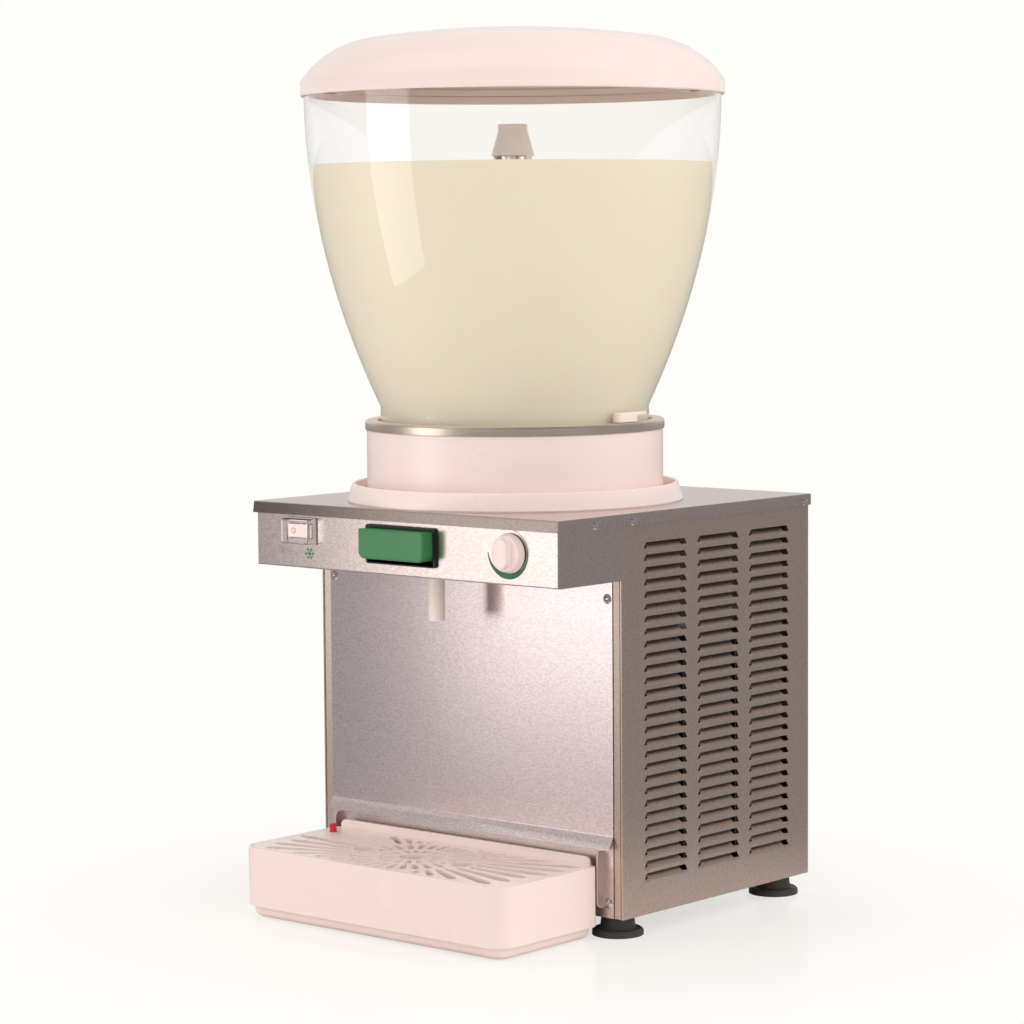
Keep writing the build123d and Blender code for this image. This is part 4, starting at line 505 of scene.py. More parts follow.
def lean_out_front_lip(plate):
    """Lean the plate's front lip out at its foot and give its front faces a darker copy of the steel as
    painted shade.
    """
    lean = 1.2 * MM
    near_edge = 1.5 * MM
    lip_depth = 3.0 * MM
    lip_foot = plate_low.z + near_edge
    edit_where(plate, lambda place: place.z < lip_foot and place.y < plate_low.y + near_edge)
    bpy.ops.transform.translate(value=(0, -lean, 0))
    bpy.ops.object.mode_set(mode="OBJECT")
    smooth_faces(plate)
    apply_modifier(plate, "WEIGHTED_NORMAL", keep_sharp=True, weight=100)
    # The lip's front faces take the darker steel: painted shade
    plate.data.materials.append(lip_shaded_steel)
    for face in plate.data.polygons:
        if face.normal.y < -0.9 and face.center.y < plate_low.y + lip_depth:
            face.material_index = 1


def cut_cross_recesses(heads):
    """Cut the cross recess of a screwdriver bit into every panel screw."""
    arm = 5.2 * MM
    stroke = 1.1 * MM
    depth = 1.3 * MM
    turn = radians(20)
    deselect_all()
    bpy.ops.mesh.primitive_cube_add(size=1)
    cutter = bpy.context.object
    bpy.ops.object.mode_set(mode="EDIT")
    bpy.ops.mesh.select_all(action="SELECT")
    bpy.ops.transform.resize(value=(arm, 2 * depth, stroke))
    bpy.ops.mesh.select_all(action="DESELECT")
    bpy.ops.mesh.primitive_cube_add(size=1)
    bpy.ops.transform.resize(value=(stroke, 2 * depth, arm))
    bpy.ops.mesh.select_all(action="SELECT")
    bpy.ops.transform.rotate(value=turn, orient_axis="Y", center_override=(0, 0, 0))
    bpy.ops.object.mode_set(mode="OBJECT")
    crosses = []
    for place in panel_screw_places():
        select_only(cutter)
        bpy.ops.object.duplicate()
        cross = bpy.context.object
        cross.location = place
        apply_place(cross)
        crosses.append(cross)
    for cross in crosses:
        apply_modifier(heads, "BOOLEAN", operation="DIFFERENCE", object=cross, solver="EXACT", use_self=True)
    deselect_all()
    for cross in crosses + [cutter]:
        cross.select_set(True)
    bpy.ops.object.delete()
    smooth_faces(heads, radians(30))


def panel_screw_places():
    """Top middle of each panel screw's head."""
    splash_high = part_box("splash_panel")[1]
    screws_low, screws_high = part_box("panel_screws")
    splash_inset = 5.0 * MM
    splash_drop = 14.5 * MM
    lower_drop = 312.7 * MM
    rear_rise = 14.2 * MM
    head_radius = 4.2 * MM
    front_x = splash_high.x - splash_inset
    rear_x = screws_high.x - head_radius
    front_zs = (splash_high.z - splash_drop, plate_top - lower_drop)
    rear_zs = (screws_low.z + rear_rise, screws_high.z - head_radius)
    places = [(side * front_x, screws_low.y, z) for side in (-1, 1) for z in front_zs]
    places += [(side * rear_x, screws_high.y, z) for side in (-1, 1) for z in rear_zs]
    return places


def add_vent_flaps(sheet_piece):
    """Lanced flap inside each vent slot of the rear panel."""
    length = 92.0 * MM
    drop = 8.0 * MM
    thickness = 0.8 * MM
    lean = radians(50)
    rows = 10
    row_pitch = 11.0 * MM
    column_pitch = 110.0 * MM
    middle_z = 180.0 * MM
    rear_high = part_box("rear_panel")[1]
    sink = 0.5 * MM
    sheet_thickness = 1.0 * MM
    flap_y = rear_high.y - sheet_thickness - drop / 2 * cos(lean) - thickness
    low_z = middle_z - (rows - 1) / 2 * row_pitch - sink
    flaps = []
    deselect_all()
    bpy.ops.mesh.primitive_plane_add(size=1)
    flap = bpy.context.object
    bpy.ops.object.mode_set(mode="EDIT")
    bpy.ops.mesh.select_all(action="SELECT")
    bpy.ops.transform.resize(value=(length, drop, 1))
    bpy.ops.mesh.extrude_region_move(TRANSFORM_OT_translate={"value": (0, 0, thickness)})
    bpy.ops.mesh.select_all(action="SELECT")
    bpy.ops.mesh.normals_make_consistent(inside=False)
    bpy.ops.object.mode_set(mode="OBJECT")
    flap.rotation_euler = (lean, 0, 0)
    apply_place(flap)
    for column in (-0.5, 0.5):
        for row in range(rows):
            select_only(flap)
            bpy.ops.object.duplicate()
            copy = bpy.context.object
            copy.location = (column * column_pitch, flap_y, low_z + row * row_pitch)
            apply_place(copy)
            flaps.append(copy)
    select_only(flap)
    bpy.ops.object.delete()
    select_only(sheet_piece)
    for copy in flaps:
        copy.select_set(True)
    bpy.ops.object.join()


lean_out_front_lip(bpy.data.objects["plate_folded"])
add_vent_flaps(bpy.data.objects["rear_sheet"])
cut_cross_recesses(bpy.data.objects["panel_screw_heads"])


# Louvred side panels

side_x = panel_high.x
sheet = 1.0 * MM
louvre_columns = 3
louvre_rows = 28
louvre_pitch = 9.87 * MM
louvre_column_pitch = 69.8 * MM
louvre_setback = 26.0 * MM
louvre_width = 58.7 * MM
louvre_top_drop = 24.8 * MM
louvre_depth = 5.2 * MM
louvre_slant = 4.3 * MM
cell_columns = 24
cell_rows = 6
cut_row = 5
front_return = 9.5 * MM
return_bend = 1.2 * MM
scoop_by_row = {5: 1.0, 4: 0.82, 3: 0.56, 2: 0.26}
scoop_by_end = {1: 0.5, 2: 0.93}
open_row = 2
open_columns = 2
# Front return: a flat, a groove and the rest of the flat, leaning in a little
return_moves = [
    (-2.0 * MM, 0.1 * MM, 0),
    (0, 1.0 * MM, 0),
    (-1.0 * MM, 0.1 * MM, 0),
    (0, -1.0 * MM, 0),
    (3.0 * MM - front_return, 0.5 * MM, 0),
]


def louvre_cell():
    """One louvre lying flat: a sheet cell cut along its top edge and pressed in below the cut."""
    deselect_all()
    bpy.ops.mesh.primitive_grid_add(x_subdivisions=cell_columns, y_subdivisions=cell_rows, size=1)
    cell = bpy.context.object
    bpy.ops.object.mode_set(mode="EDIT")
    bpy.ops.mesh.select_all(action="SELECT")
    bpy.ops.transform.resize(value=(louvre_column_pitch, louvre_pitch, 1))
    bpy.ops.object.mode_set(mode="OBJECT")
    step_x = louvre_column_pitch / cell_columns
    step_y = louvre_pitch / cell_rows
    half_scoop = round(louvre_width / 2 / step_x)
    half_width = half_scoop * step_x
    cut_y = (cut_row - cell_rows / 2) * step_y
    row_shares = {}
    for row in range(1, cut_row + 1):
        row_y = (row - cell_rows / 2) * step_y
        row_shares[row] = 1 - louvre_slant / half_width * (row - 1) / (cut_row - 1)
        reach = half_width + step_x / 4
        edit_where(cell, lambda place: abs(place.y - row_y) < step_y / 4 and abs(place.x) < reach)
        bpy.ops.transform.resize(value=(row_shares[row], 1, 1), center_override=(0, 0, 0))
        bpy.ops.object.mode_set(mode="OBJECT")
    edit_where(cell, lambda place: abs(place.y - cut_y) < step_y / 4 and abs(place.x) < half_width, "EDGE")
    bpy.ops.mesh.edge_split(type="EDGE")
    bpy.ops.object.mode_set(mode="OBJECT")
    below_cut = set()
    for face in cell.data.polygons:
        if face.center.y < cut_y:
            below_cut.update(face.vertices)
    places = [(vertex.index, vertex.co.copy()) for vertex in cell.data.vertices if vertex.index in below_cut]
    for row, row_share in scoop_by_row.items():
        for column in range(1, half_scoop + 1):
            share = row_share * scoop_by_end.get(column, 1.0)
            offset = (half_scoop - column) * step_x * row_shares[row]
            row_y = (row - cell_rows / 2) * step_y
            picked = {
                index
                for index, place in places
                if abs(place.y - row_y) < step_y / 4 and abs(abs(place.x) - offset) < step_x / 4
            }
            press_in(cell, picked, share * louvre_depth)
    open_low = (open_row - cell_rows / 2) * step_y

    def in_open_end(face):
        row = face.center.y / step_y + cell_rows / 2
        reach = step_x * (1 - louvre_slant / half_width * (row - 1) / (cut_row - 1))
        column = abs(face.center.x) / reach
        return open_low < face.center.y < cut_y and half_scoop - open_columns < column < half_scoop

    open_faces = {face.index for face in cell.data.polygons if in_open_end(face)}
    select_only(cell)
    for part in (cell.data.vertices, cell.data.edges):
        part.foreach_set("select", [False] * len(part))
    for face in cell.data.polygons:
        face.select = face.index in open_faces
    bpy.ops.object.mode_set(mode="EDIT")
    bpy.ops.mesh.select_mode(type="FACE")
    bpy.ops.mesh.delete(type="FACE")
    bpy.ops.object.mode_set(mode="OBJECT")
    return cell


def press_in(piece, picked, depth):
    """Move chosen vertices of a flat sheet down by a depth."""
    select_only(piece)
    mesh = piece.data
    for part in (mesh.edges, mesh.polygons):
        part.foreach_set("select", [False] * len(part))
    for vertex in mesh.vertices:
        vertex.select = vertex.index in picked
    bpy.ops.object.mode_set(mode="EDIT")
    bpy.ops.mesh.select_mode(type="VERT")
    bpy.ops.transform.translate(value=(0, 0, -depth))
    bpy.ops.object.mode_set(mode="OBJECT")


def extend_edge(piece, test, move):
    """Extrude the border edges that pass a test."""
    edit_where(piece, test, "EDGE")
    bpy.ops.mesh.extrude_edges_move(TRANSFORM_OT_translate={"value": move})
    bpy.ops.object.mode_set(mode="OBJECT")


def right_louvred_panel():
    """Right side panel: louvres in columns and rows, plain borders and a folded front return."""
    panel = louvre_cell()
    panel.name = "right_louvred_panel"
    apply_modifier(
        panel,
        "ARRAY",
        count=louvre_rows,
        use_relative_offset=False,
        use_constant_offset=True,
        constant_offset_displace=(0, -louvre_pitch, 0),
        use_merge_vertices=True,
        merge_threshold=weld_gap,
    )
    apply_modifier(
        panel,
        "ARRAY",
        count=louvre_columns,
        use_relative_offset=False,
        use_constant_offset=True,
        constant_offset_displace=(louvre_column_pitch, 0, 0),
        use_merge_vertices=True,
        merge_threshold=weld_gap,
    )
    step_y = louvre_pitch / cell_rows
    cell_margin = (louvre_column_pitch - louvre_width) / 2
    first_y = panel_low.y + louvre_setback - cell_margin + louvre_column_pitch / 2
    first_z = plate_top - louvre_top_drop - (cut_row - cell_rows / 2) * step_y
    panel.location = (side_x, first_y, first_z)
    panel.rotation_euler = (pi / 2, 0, pi / 2)
    apply_place(panel)
    near_y = first_y - louvre_column_pitch / 2
    far_y = near_y + louvre_columns * louvre_column_pitch
    high_z = first_z + louvre_pitch / 2
    low_z = high_z - louvre_rows * louvre_pitch
    touch = 0.1 * MM
    extend_edge(panel, lambda place: place.y < near_y + touch, (0, panel_low.y - near_y, 0))
    extend_edge(panel, lambda place: place.y > far_y - touch, (0, panel_high.y - far_y, 0))
    extend_edge(panel, lambda place: place.z > high_z - touch, (0, 0, panel_high.z - high_z))
    extend_edge(panel, lambda place: place.z < low_z + touch, (0, 0, panel_low.z - low_z))
    edit_where(panel, lambda place: place.y < panel_low.y + touch, "EDGE")
    for move in return_moves:
        bpy.ops.mesh.extrude_edges_move(TRANSFORM_OT_translate={"value": move})
    bpy.ops.object.mode_set(mode="OBJECT")
    edit_where(panel, lambda place: place.y < panel_low.y + touch and place.x > side_x - touch, "EDGE")
    bpy.ops.mesh.bevel(offset=return_bend, segments=3)
    close_edit()
    apply_modifier(panel, "SOLIDIFY", thickness=sheet, offset=-1)
    smooth_faces(panel)
    return panel


def left_louvred_panel(right_panel):
    """Mirror image of the right side panel."""
    select_only(right_panel)
    bpy.ops.object.duplicate()
    panel = bpy.context.object
    panel.name = "left_louvred_panel"
    bpy.ops.object.mode_set(mode="EDIT")
    bpy.ops.mesh.select_all(action="SELECT")
    bpy.ops.transform.resize(value=(-1, 1, 1), center_override=(0, 0, 0))
    bpy.ops.mesh.flip_normals()
    bpy.ops.object.mode_set(mode="OBJECT")
    smooth_faces(panel)
    return panel


right_panel = right_louvred_panel()
left_panel = left_louvred_panel(right_panel)
finish_piece(right_panel, "cabinet", side_steel, "brushed_steel", "right_side_panel")
finish_piece(left_panel, "cabinet", side_steel, "brushed_steel", "left_side_panel")


# Bowl, drink, lid, collar and cup, turned on the bowl's axis

neck_radius = 111.7 * MM
neck_top = neck_high.z
bowl_wall = 3.5 * MM
bowl_radius = bowl_high.x - axis_x
flare_z = (neck_top + bowl_high.z) / 2
drink_level = plate_top + 277.0 * MM
flare_steps = 30


def flare(neck, rim, share):
    """Point of the bowl's flared wall, from the neck to the rim, as a quadratic curve."""
    across = (1 - share) ** 2 * neck + (1 - (1 - share) ** 2) * rim
    up = (1 - share) ** 2 * neck_top + 2 * share * (1 - share) * flare_z + share**2 * bowl_high.z
    return across, up


def bowl_wall_piece():
    """Clear bowl: neck, flared wall and a rounded rim."""
    outer = [flare(neck_radius, bowl_radius, step / flare_steps) for step in range(flare_steps + 1)]
    inner = [(across - bowl_wall, up) for across, up in outer]
    lip = 1.2 * MM
    outer[-1] = (bowl_radius, bowl_high.z - lip)
    inner[-1] = (bowl_radius - bowl_wall, bowl_high.z - lip)
    rim = [(bowl_radius - lip, bowl_high.z), (bowl_radius - bowl_wall + lip, bowl_high.z)]
    foot = [(neck_radius - bowl_wall, neck_low.z), (neck_radius, neck_low.z)]
    outline = foot[1:] + outer + rim + inner[::-1] + foot
    return lathe("bowl_wall", outline)


def drink_piece():
    """Drink that fills the bowl to its level, with a bore for the stirrer's legs."""
    embed = 0.5 * MM
    bore = 18.7 * MM
    meniscus = 1.0 * MM
    climb = 0.4 * MM
    low_z = rim_top - 12.0 * MM
    neck = neck_radius - bowl_wall + embed
    rim = bowl_radius - bowl_wall + embed
    wall = [flare(neck, rim, step / flare_steps) for step in range(flare_steps + 1)]
    wall = [(across, up) for across, up in wall if up < drink_level]
    top = wall[-1][0] + climb
    outline = [(bore, low_z), (neck, low_z)] + wall
    outline += [(top, drink_level + meniscus), (top - meniscus, drink_level)]
    outline += [(bore, drink_level), (bore, low_z)]
    return lathe("drink", outline)


def lid_piece():
    """Lid: band, rounded shoulder and low crown over a hollow that seats on the rim."""
    radius = lid_high.x - axis_x
    wall = 2.3 * MM
    band_top = lid_low.z + 12.0 * MM
    bore = bowl_radius + 0.3 * MM
    seat = bowl_high.z + 0.2 * MM
    shoulder_radius = 125.0 * MM
    crown_rise = 9.5 * MM
    shoulder_top = lid_high.z - crown_rise
    crown_steps = 14
    shoulder_steps = 16
    crown_radius = (shoulder_radius**2 + crown_rise**2) / (2 * crown_rise)
    round_point = (radius - 18.1 * MM, band_top + 19.4 * MM)
    shoulder = arc_through((radius, band_top), round_point, (shoulder_radius, shoulder_top), shoulder_steps)
    crown = []
    for step in range(1, crown_steps + 1):
        across = shoulder_radius * (1 - step / crown_steps)
        drop = crown_radius - (crown_radius**2 - across**2) ** 0.5
        crown.append((across, lid_high.z - drop))
    outside = shoulder + crown
    inside = [(across - wall * 0.8 if across > wall else 0.0, up - wall * 0.9) for across, up in outside]
    inside = [(across, up) for across, up in inside if up > band_top]
    edge = 0.8 * MM
    seat_inner = bore - 3.5 * MM
    foot = [(seat_inner, band_top), (seat_inner, seat), (bore, seat), (bore, lid_low.z)]
    foot += [(radius - edge, lid_low.z), (radius, lid_low.z + edge)]
    outline = foot[-1:] + outside + inside[::-1] + foot
    return lathe("lid_dome", outline)


def collar_piece():
    """White collar round the cup with a drip gutter at its foot."""
    radius = 123.4 * MM
    wall = 3.0 * MM
    gutter_radius = collar_high.x - axis_x
    gutter_rim = 135.5 * MM
    gutter_top = plate_top + 15.0 * MM
    gutter_wall = 2.4 * MM
    gutter_floor = plate_top + 3.0 * MM
    corners = [
        (radius - wall, plate_top, 0),
        (gutter_radius - 0.5 * MM, plate_top, 0),
        (gutter_radius, plate_top + 1.2 * MM, 0.6 * MM),
        (gutter_rim, gutter_top, 1.1 * MM),
        (gutter_rim - gutter_wall, gutter_top, 1.1 * MM),
        (gutter_rim - gutter_wall, gutter_floor, 2.0 * MM),
        (radius, gutter_floor, 2.0 * MM),
        (radius, collar_high.z, 0),
        (radius - wall, collar_high.z, 0),
        (radius - wall, plate_top, 0),
    ]
    return lathe("collar_ring", rounded_outline(corners))


def cup_piece():
    """Cooled steel cup with a rolled rim that caps the collar."""
    rim_radius = cup_high.x - axis_x
    rim_low = rim_top - 8.0 * MM
    cup_radius = 114.4 * MM
    well_radius = 108.9 * MM
    wall = 1.2 * MM
    seat = rim_top - 21.4 * MM
    bore = 6.5 * MM
    roll = 2.2 * MM
    corners = [
        (bore, cup_low.z, 0),
        (well_radius + wall, cup_low.z, 3.0 * MM),
        (well_radius + wall, seat - wall, 0),
        (cup_radius + wall, seat - wall, 0),
        (cup_radius + wall, rim_top - wall, 0),
        (rim_radius - wall, rim_top - wall, 1.1 * MM),
        (rim_radius - wall, rim_low, 0),
        (rim_radius, rim_low, 0.5 * MM),
        (rim_radius, rim_top, roll),
        (cup_radius, rim_top, 1.0 * MM),
        (cup_radius, seat, 0),
        (well_radius, seat, 0),
        (well_radius, cup_low.z + wall, 2.0 * MM),
        (bore, cup_low.z + wall, 0),
        (bore, cup_low.z, 0),
    ]
    return lathe("cooled_cup", rounded_outline(corners))


finish_piece(bowl_wall_piece(), "bowl", clear_bowl, "clear_plastic", "bowl", "bowl_neck")
finish_piece(drink_piece(), "bowl", drink_finish, "clear_plastic")
finish_piece(lid_piece(), "lid", lid_plastic, "white_plastic", "lid")
finish_piece(collar_piece(), "cabinet", white_plastic, "white_plastic", "collar")
finish_piece(cup_piece(), "cabinet", rim_steel, "brushed_steel", "evaporator_cup")


# Printed marks on the control head

print_proud = 0.06 * MM
knob_x = (knob_low.x + knob_high.x) / 2
knob_z = (knob_low.z + knob_high.z) / 2
knob_radius = (knob_high.x - knob_low.x) / 2


def raise_print(piece):
    """Turn a flat mark drawn in X and Y to face the front, and give it the thickness of ink."""
    apply_modifier(piece, "SOLIDIFY", thickness=print_proud, offset=1)
    piece.rotation_euler = (pi / 2, 0, 0)
    apply_place(piece)
    return piece


def crescent_mark():
    """Green crescent that winds clockwise from above the knob to its left and is thickest below it."""
    sweep = 1.5 * pi
    steps = 60
    near = knob_radius + 3.4 * MM
    widen = 3.0 * MM
    thin = 0.5 * MM
    thick = 4.6 * MM
    thickest = 0.68
    taper = 0.22

    def edge_points(share):
        turn = pi / 2 - sweep * share
        outer = near + widen * share**3
        inner = outer - thin - thick * exp(-(((share - thickest) / taper) ** 2))
        return [(reach * cos(turn), reach * sin(turn)) for reach in (outer, inner)]

    start_x, start_y = edge_points(0)[0]
    deselect_all()
    bpy.ops.mesh.primitive_plane_add(size=MM, location=(start_x, start_y, 0))
    mark = bpy.context.object
    mark.name = "dial_crescent"
    bpy.ops.object.mode_set(mode="EDIT")
    bpy.ops.mesh.select_mode(type="VERT")
    bpy.ops.mesh.merge(type="CENTER")
    outline = [edge_points(step / steps)[0] for step in range(steps + 1)]
    outline += [edge_points(step / steps)[1] for step in range(steps, -1, -1)]
    for (ax, ay), (bx, by) in zip(outline, outline[1:] + outline[:1]):
        bpy.ops.mesh.extrude_region_move(TRANSFORM_OT_translate={"value": (bx - ax, by - ay, 0)})
    bpy.ops.mesh.select_all(action="SELECT")
    bpy.ops.mesh.remove_doubles(threshold=weld_gap)
    bpy.ops.mesh.select_all(action="SELECT")
    bpy.ops.mesh.fill()
    bpy.ops.mesh.select_all(action="SELECT")
    bpy.ops.mesh.normals_make_consistent(inside=False)
    bpy.ops.object.mode_set(mode="OBJECT")
    if mark.data.polygons[0].normal.z < 0:
        edit_where(mark, lambda place: True, "FACE")
        bpy.ops.mesh.flip_normals()
        bpy.ops.object.mode_set(mode="OBJECT")
    apply_place(mark)
    raise_print(mark)
    mark.location = (knob_x - 1.2 * MM, head_front, knob_z - 0.5 * MM)
    apply_place(mark)
    return mark


def snowflake_mark(centre_x, centre_z, reach):
    """Six-armed frost mark with two barbs on each arm."""
    stroke = reach * 0.13
    barb = reach * 0.36
    barb_place = reach * 0.6
    barb_lean = radians(50)
    arms = 6
    deselect_all()
    bpy.ops.mesh.primitive_plane_add(size=1)
    mark = bpy.context.object
    mark.name = "frost_mark"
    bpy.ops.object.mode_set(mode="EDIT")
    bpy.ops.mesh.select_all(action="SELECT")
    bpy.ops.transform.resize(value=(reach, stroke, 1))
    bpy.ops.transform.translate(value=(reach / 2, 0, 0))
    for lean in (barb_lean, -barb_lean):
        bpy.ops.mesh.select_all(action="DESELECT")
        bpy.ops.mesh.primitive_plane_add(size=1)
        bpy.ops.transform.resize(value=(barb, stroke, 1))
        bpy.ops.transform.translate(value=(barb / 2, 0, 0))
        bpy.ops.transform.rotate(value=-lean, orient_axis="Z", center_override=(0, 0, 0))
        bpy.ops.transform.translate(value=(barb_place, 0, 0))
    bpy.ops.mesh.select_all(action="SELECT")
    for arm in range(arms - 1):
        bpy.ops.mesh.duplicate_move(TRANSFORM_OT_translate={"value": (0, 0, 0)})
        bpy.ops.transform.rotate(value=-2 * pi / arms, orient_axis="Z", center_override=(0, 0, 0))
    bpy.ops.object.mode_set(mode="OBJECT")
    raise_print(mark)
    mark.location = (centre_x, head_front, centre_z)
    apply_place(mark)
    return mark


def ring_mark(name, centre, radius, stroke, steps=40):
    """Flat printed ring."""
    deselect_all()
    bpy.ops.mesh.primitive_circle_add(vertices=steps, radius=radius, fill_type="NOTHING")
    mark = bpy.context.object
    mark.name = name
    bpy.ops.object.mode_set(mode="EDIT")
    bpy.ops.mesh.select_all(action="SELECT")
    bpy.ops.mesh.extrude_edges_move(TRANSFORM_OT_translate={"value": (0, 0, 0)})
    share = 1 - stroke / radius
    bpy.ops.transform.resize(value=(share, share, 1), center_override=(0, 0, 0))
    bpy.ops.mesh.select_all(action="SELECT")
    bpy.ops.mesh.normals_make_consistent(inside=False)
    bpy.ops.object.mode_set(mode="OBJECT")
    raise_print(mark)
    mark.location = centre
    apply_place(mark)
    return mark


finish_piece(crescent_mark(), "cabinet", print_green, "green_plastic")
frost_x = switch_high.x - 8.6 * MM
frost_z = switch_low.z - 7.5 * MM
finish_piece(snowflake_mark(frost_x, frost_z, 5.2 * MM), "cabinet", print_green, "green_plastic")
mixing_x = switch_low.x - 5.6 * MM
for loop, offset in (("left", -1.9 * MM), ("right", 1.9 * MM)):
    loop_centre = (mixing_x + offset, head_front, frost_z + 1.2 * MM)
    loop_mark = ring_mark("mixing_loop_" + loop, loop_centre, 2.4 * MM, 0.6 * MM)
    finish_piece(loop_mark, "cabinet", print_pale, "grey_plastic")
rocker_front = rocker_low.y + 0.35 * MM
rocker_centre = (rocker_low.x + 5.6 * MM, rocker_front, (rocker_low.z + rocker_high.z) / 2)
rocker_mark = ring_mark("rocker_mark", rocker_centre, 2.3 * MM, 0.5 * MM)
finish_piece(rocker_mark, "rocker", print_grey, "grey_plastic")


# Floor, light and camera

backdrop_white = (1.0, 0.991, 0.955, 1)
floor_white_near = 0.66
mirrored_light = 0.30
soft_light = 0.42
# Each glow: azimuth and rise in degrees, start and full strength of its cone, amount
mirrored_glows = [
    (221, 0, 0.35, 0.95, 0.48),
    (46, 42, 0.60, 0.95, -0.22),
    (41, -2, 0.40, 0.95, 0.22),
    (-41, 60, 0.80, 0.97, 0.40),
]
soft_glows = [
    (95, 15, 0.0, 1.0, 1.30),
    (-85, 25, 0.0, 1.0, 0.75),
]


def white_stage(name):
    """White studio floor that keeps the object's shadow and runs into the white backdrop further off."""
    finish, tree, shader = new_finish(name)
    cloud = grain_noise(tree, (6, 6, 6), 2.0)
    colour_between(tree, cloud, shader, (0.945, 0.905, 0.885, 1), (0.95, 0.91, 0.89, 1))
    gloss_between(tree, cloud, shader, 0.09, 0.11)
    shader.inputs["Specular IOR Level"].default_value = 0.25
    place = tree.nodes.new("ShaderNodeTexCoord")
    reach = tree.nodes.new("ShaderNodeVectorMath")
    reach.operation = "LENGTH"
    whiten = tree.nodes.new("ShaderNodeMapRange")
    whiten.interpolation_type = "SMOOTHSTEP"
    whiten.inputs["From Min"].default_value = 0.2
    whiten.inputs["From Max"].default_value = 0.5
    whiten.inputs["To Min"].default_value = floor_white_near
    whiten.inputs["To Max"].default_value = 1.0
    white = tree.nodes.new("ShaderNodeEmission")
    white.inputs["Color"].default_value = backdrop_white
    seen = seen_rays(tree)
    amount = tree.nodes.new("ShaderNodeMath")
    amount.operation = "MULTIPLY"
    mix = tree.nodes.new("ShaderNodeMixShader")
    far = tree.nodes.new("ShaderNodeMapRange")
    far.interpolation_type = "SMOOTHSTEP"
    far.inputs["From Min"].default_value = 0.20
    far.inputs["From Max"].default_value = 0.48
    rays = tree.nodes.new("ShaderNodeLightPath")
    dimmed = tree.nodes.new("ShaderNodeMath")
    dimmed.operation = "MULTIPLY"
    dim = tree.nodes.new("ShaderNodeEmission")
    dim.inputs["Strength"].default_value = mirrored_light
    dim_mix = tree.nodes.new("ShaderNodeMixShader")
    tree.links.new(reach.outputs["Value"], far.inputs["Value"])
    tree.links.new(far.outputs["Result"], dimmed.inputs[0])
    tree.links.new(rays.outputs["Is Glossy Ray"], dimmed.inputs[1])
    tree.links.new(dimmed.outputs["Value"], dim_mix.inputs["Fac"])
    tree.links.new(shader.outputs["BSDF"], dim_mix.inputs[1])
    tree.links.new(dim.outputs["Emission"], dim_mix.inputs[2])
    tree.links.new(place.outputs["Object"], reach.inputs[0])
    tree.links.new(reach.outputs["Value"], whiten.inputs["Value"])
    tree.links.new(whiten.outputs["Result"], amount.inputs[0])
    tree.links.new(seen, amount.inputs[1])
    tree.links.new(amount.outputs["Value"], mix.inputs["Fac"])
    tree.links.new(dim_mix.outputs["Shader"], mix.inputs[1])
    tree.links.new(white.outputs["Emission"], mix.inputs[2])
    tree.links.new(mix.outputs["Shader"], tree.nodes["Material Output"].inputs["Surface"])
    return finish


def seen_rays(tree):
    """One where a ray comes from the camera or through clear plastic."""
    rays = tree.nodes.new("ShaderNodeLightPath")
    seen = tree.nodes.new("ShaderNodeMath")
    seen.operation = "MAXIMUM"
    tree.links.new(rays.outputs["Is Camera Ray"], seen.inputs[0])
    tree.links.new(rays.outputs["Is Transmission Ray"], seen.inputs[1])
    return seen.outputs["Value"]


def studio_floor():
    """Wide floor under the object."""
    deselect_all()
    bpy.ops.mesh.primitive_plane_add(size=40, location=(0, 0, cad_low.z))
    floor = bpy.context.object
    floor.name = "studio_floor"
    bpy.ops.object.mode_set(mode="EDIT")
    bpy.ops.mesh.select_all(action="SELECT")
    bpy.ops.mesh.subdivide(number_cuts=3)
    bpy.ops.object.mode_set(mode="OBJECT")
    apply_place(floor)
    floor.data.materials.append(white_stage("studio floor"))


def softbox(name, azimuth, height, distance, width, tall, power, colour, aim_height):
    """Rectangular studio light aimed at the object's axis."""
    turn = radians(azimuth)
    place = Vector((sin(turn) * distance, -cos(turn) * distance, height))
    aim = Vector((0, 0, aim_height)) - place
    light = bpy.data.lights.new(name, "AREA")
    light.shape = "RECTANGLE"
    light.size = width
    light.size_y = tall
    light.energy = power
    light.color = colour
    lamp = bpy.data.objects.new(name, light)
    lamp.location = place
    lamp.rotation_euler = aim.to_track_quat("-Z", "Y").to_euler()
    bpy.context.scene.collection.objects.link(lamp)


def add_glow(tree, direction, total, azimuth, rise, low, high, amount):
    """Add an amount of light in the part of the room round an azimuth and a rise."""
    turn = radians(azimuth)
    lift = radians(rise)
    along = tree.nodes.new("ShaderNodeVectorMath")
    along.operation = "DOT_PRODUCT"
    along.inputs[1].default_value = (sin(turn) * cos(lift), -cos(turn) * cos(lift), sin(lift))
    spread = tree.nodes.new("ShaderNodeMapRange")
    spread.interpolation_type = "SMOOTHSTEP"
    spread.inputs["From Min"].default_value = low
    spread.inputs["From Max"].default_value = high
    spread.inputs["To Min"].default_value = 0
    spread.inputs["To Max"].default_value = amount
    add = tree.nodes.new("ShaderNodeMath")
    tree.links.new(direction, along.inputs[0])
    tree.links.new(along.outputs["Value"], spread.inputs["Value"])
    tree.links.new(spread.outputs["Result"], add.inputs[0])
    if isinstance(total, float):
        add.inputs[1].default_value = total
    else:
        tree.links.new(total, add.inputs[1])
    return add.outputs["Value"]


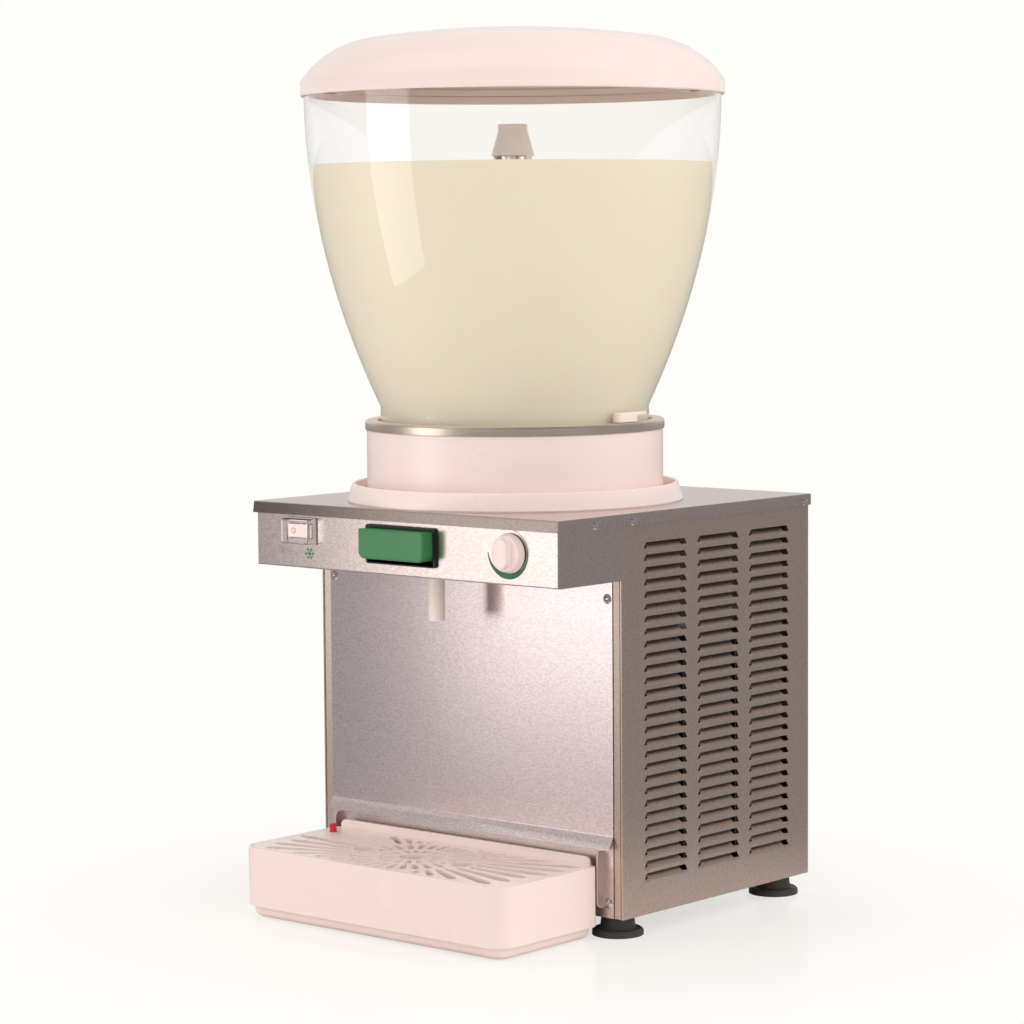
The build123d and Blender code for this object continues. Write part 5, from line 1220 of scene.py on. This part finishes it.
def studio_world():
    """White backdrop for the camera, soft light from both sides, and a dim room for the steel to mirror."""
    world = bpy.data.worlds.new("studio")
    world.use_nodes = True
    bpy.context.scene.world = world
    tree = world.node_tree
    tree.nodes.clear()
    direction = tree.nodes.new("ShaderNodeTexCoord").outputs["Generated"]
    mirrored = mirrored_light
    for glow in mirrored_glows:
        mirrored = add_glow(tree, direction, mirrored, *glow)
    soft = soft_light
    for glow in soft_glows:
        soft = add_glow(tree, direction, soft, *glow)
    rays = tree.nodes.new("ShaderNodeLightPath")
    level = tree.nodes.new("ShaderNodeMix")
    room = tree.nodes.new("ShaderNodeBackground")
    room.inputs["Color"].default_value = (1.0, 0.975, 0.96, 1)
    backdrop = tree.nodes.new("ShaderNodeBackground")
    backdrop.inputs["Color"].default_value = backdrop_white
    mix = tree.nodes.new("ShaderNodeMixShader")
    output = tree.nodes.new("ShaderNodeOutputWorld")
    tree.links.new(rays.outputs["Is Glossy Ray"], level.inputs["Factor"])
    tree.links.new(soft, level.inputs["A"])
    tree.links.new(mirrored, level.inputs["B"])
    tree.links.new(level.outputs["Result"], room.inputs["Strength"])
    tree.links.new(seen_rays(tree), mix.inputs["Fac"])
    tree.links.new(room.outputs["Background"], mix.inputs[1])
    tree.links.new(backdrop.outputs["Background"], mix.inputs[2])
    tree.links.new(mix.outputs["Shader"], output.inputs["Surface"])


def photo_camera():
    """Camera at the photograph's viewing angle."""
    azimuth = radians(40.856)
    pitch = radians(4.885)
    roll = radians(-0.418)
    distance = 2.696
    target = Vector((axis_x - 2.2 * MM, axis_y - 1.95 * MM, 330.6 * MM))
    back = Vector((sin(azimuth) * cos(pitch), -cos(azimuth) * cos(pitch), sin(pitch)))
    camera = bpy.data.cameras.new("photo_camera")
    camera.sensor_width = 36
    camera.lens = 113.48
    holder = bpy.data.objects.new("photo_camera", camera)
    turn = (-back).to_track_quat("-Z", "Y").to_matrix().to_4x4() @ Matrix.Rotation(roll, 4, "Z")
    holder.matrix_world = Matrix.Translation(target + back * distance) @ turn
    bpy.context.scene.collection.objects.link(holder)
    bpy.context.scene.camera = holder


studio_floor()
softbox(
    "key_softbox",
    azimuth=-27,
    height=0.38,
    distance=1.15,
    width=0.54,
    tall=0.70,
    power=2.1,
    colour=(1.0, 0.965, 0.945),
    aim_height=0.31,
)
studio_world()
photo_camera()
bpy.context.scene.view_settings.view_transform = "Standard"
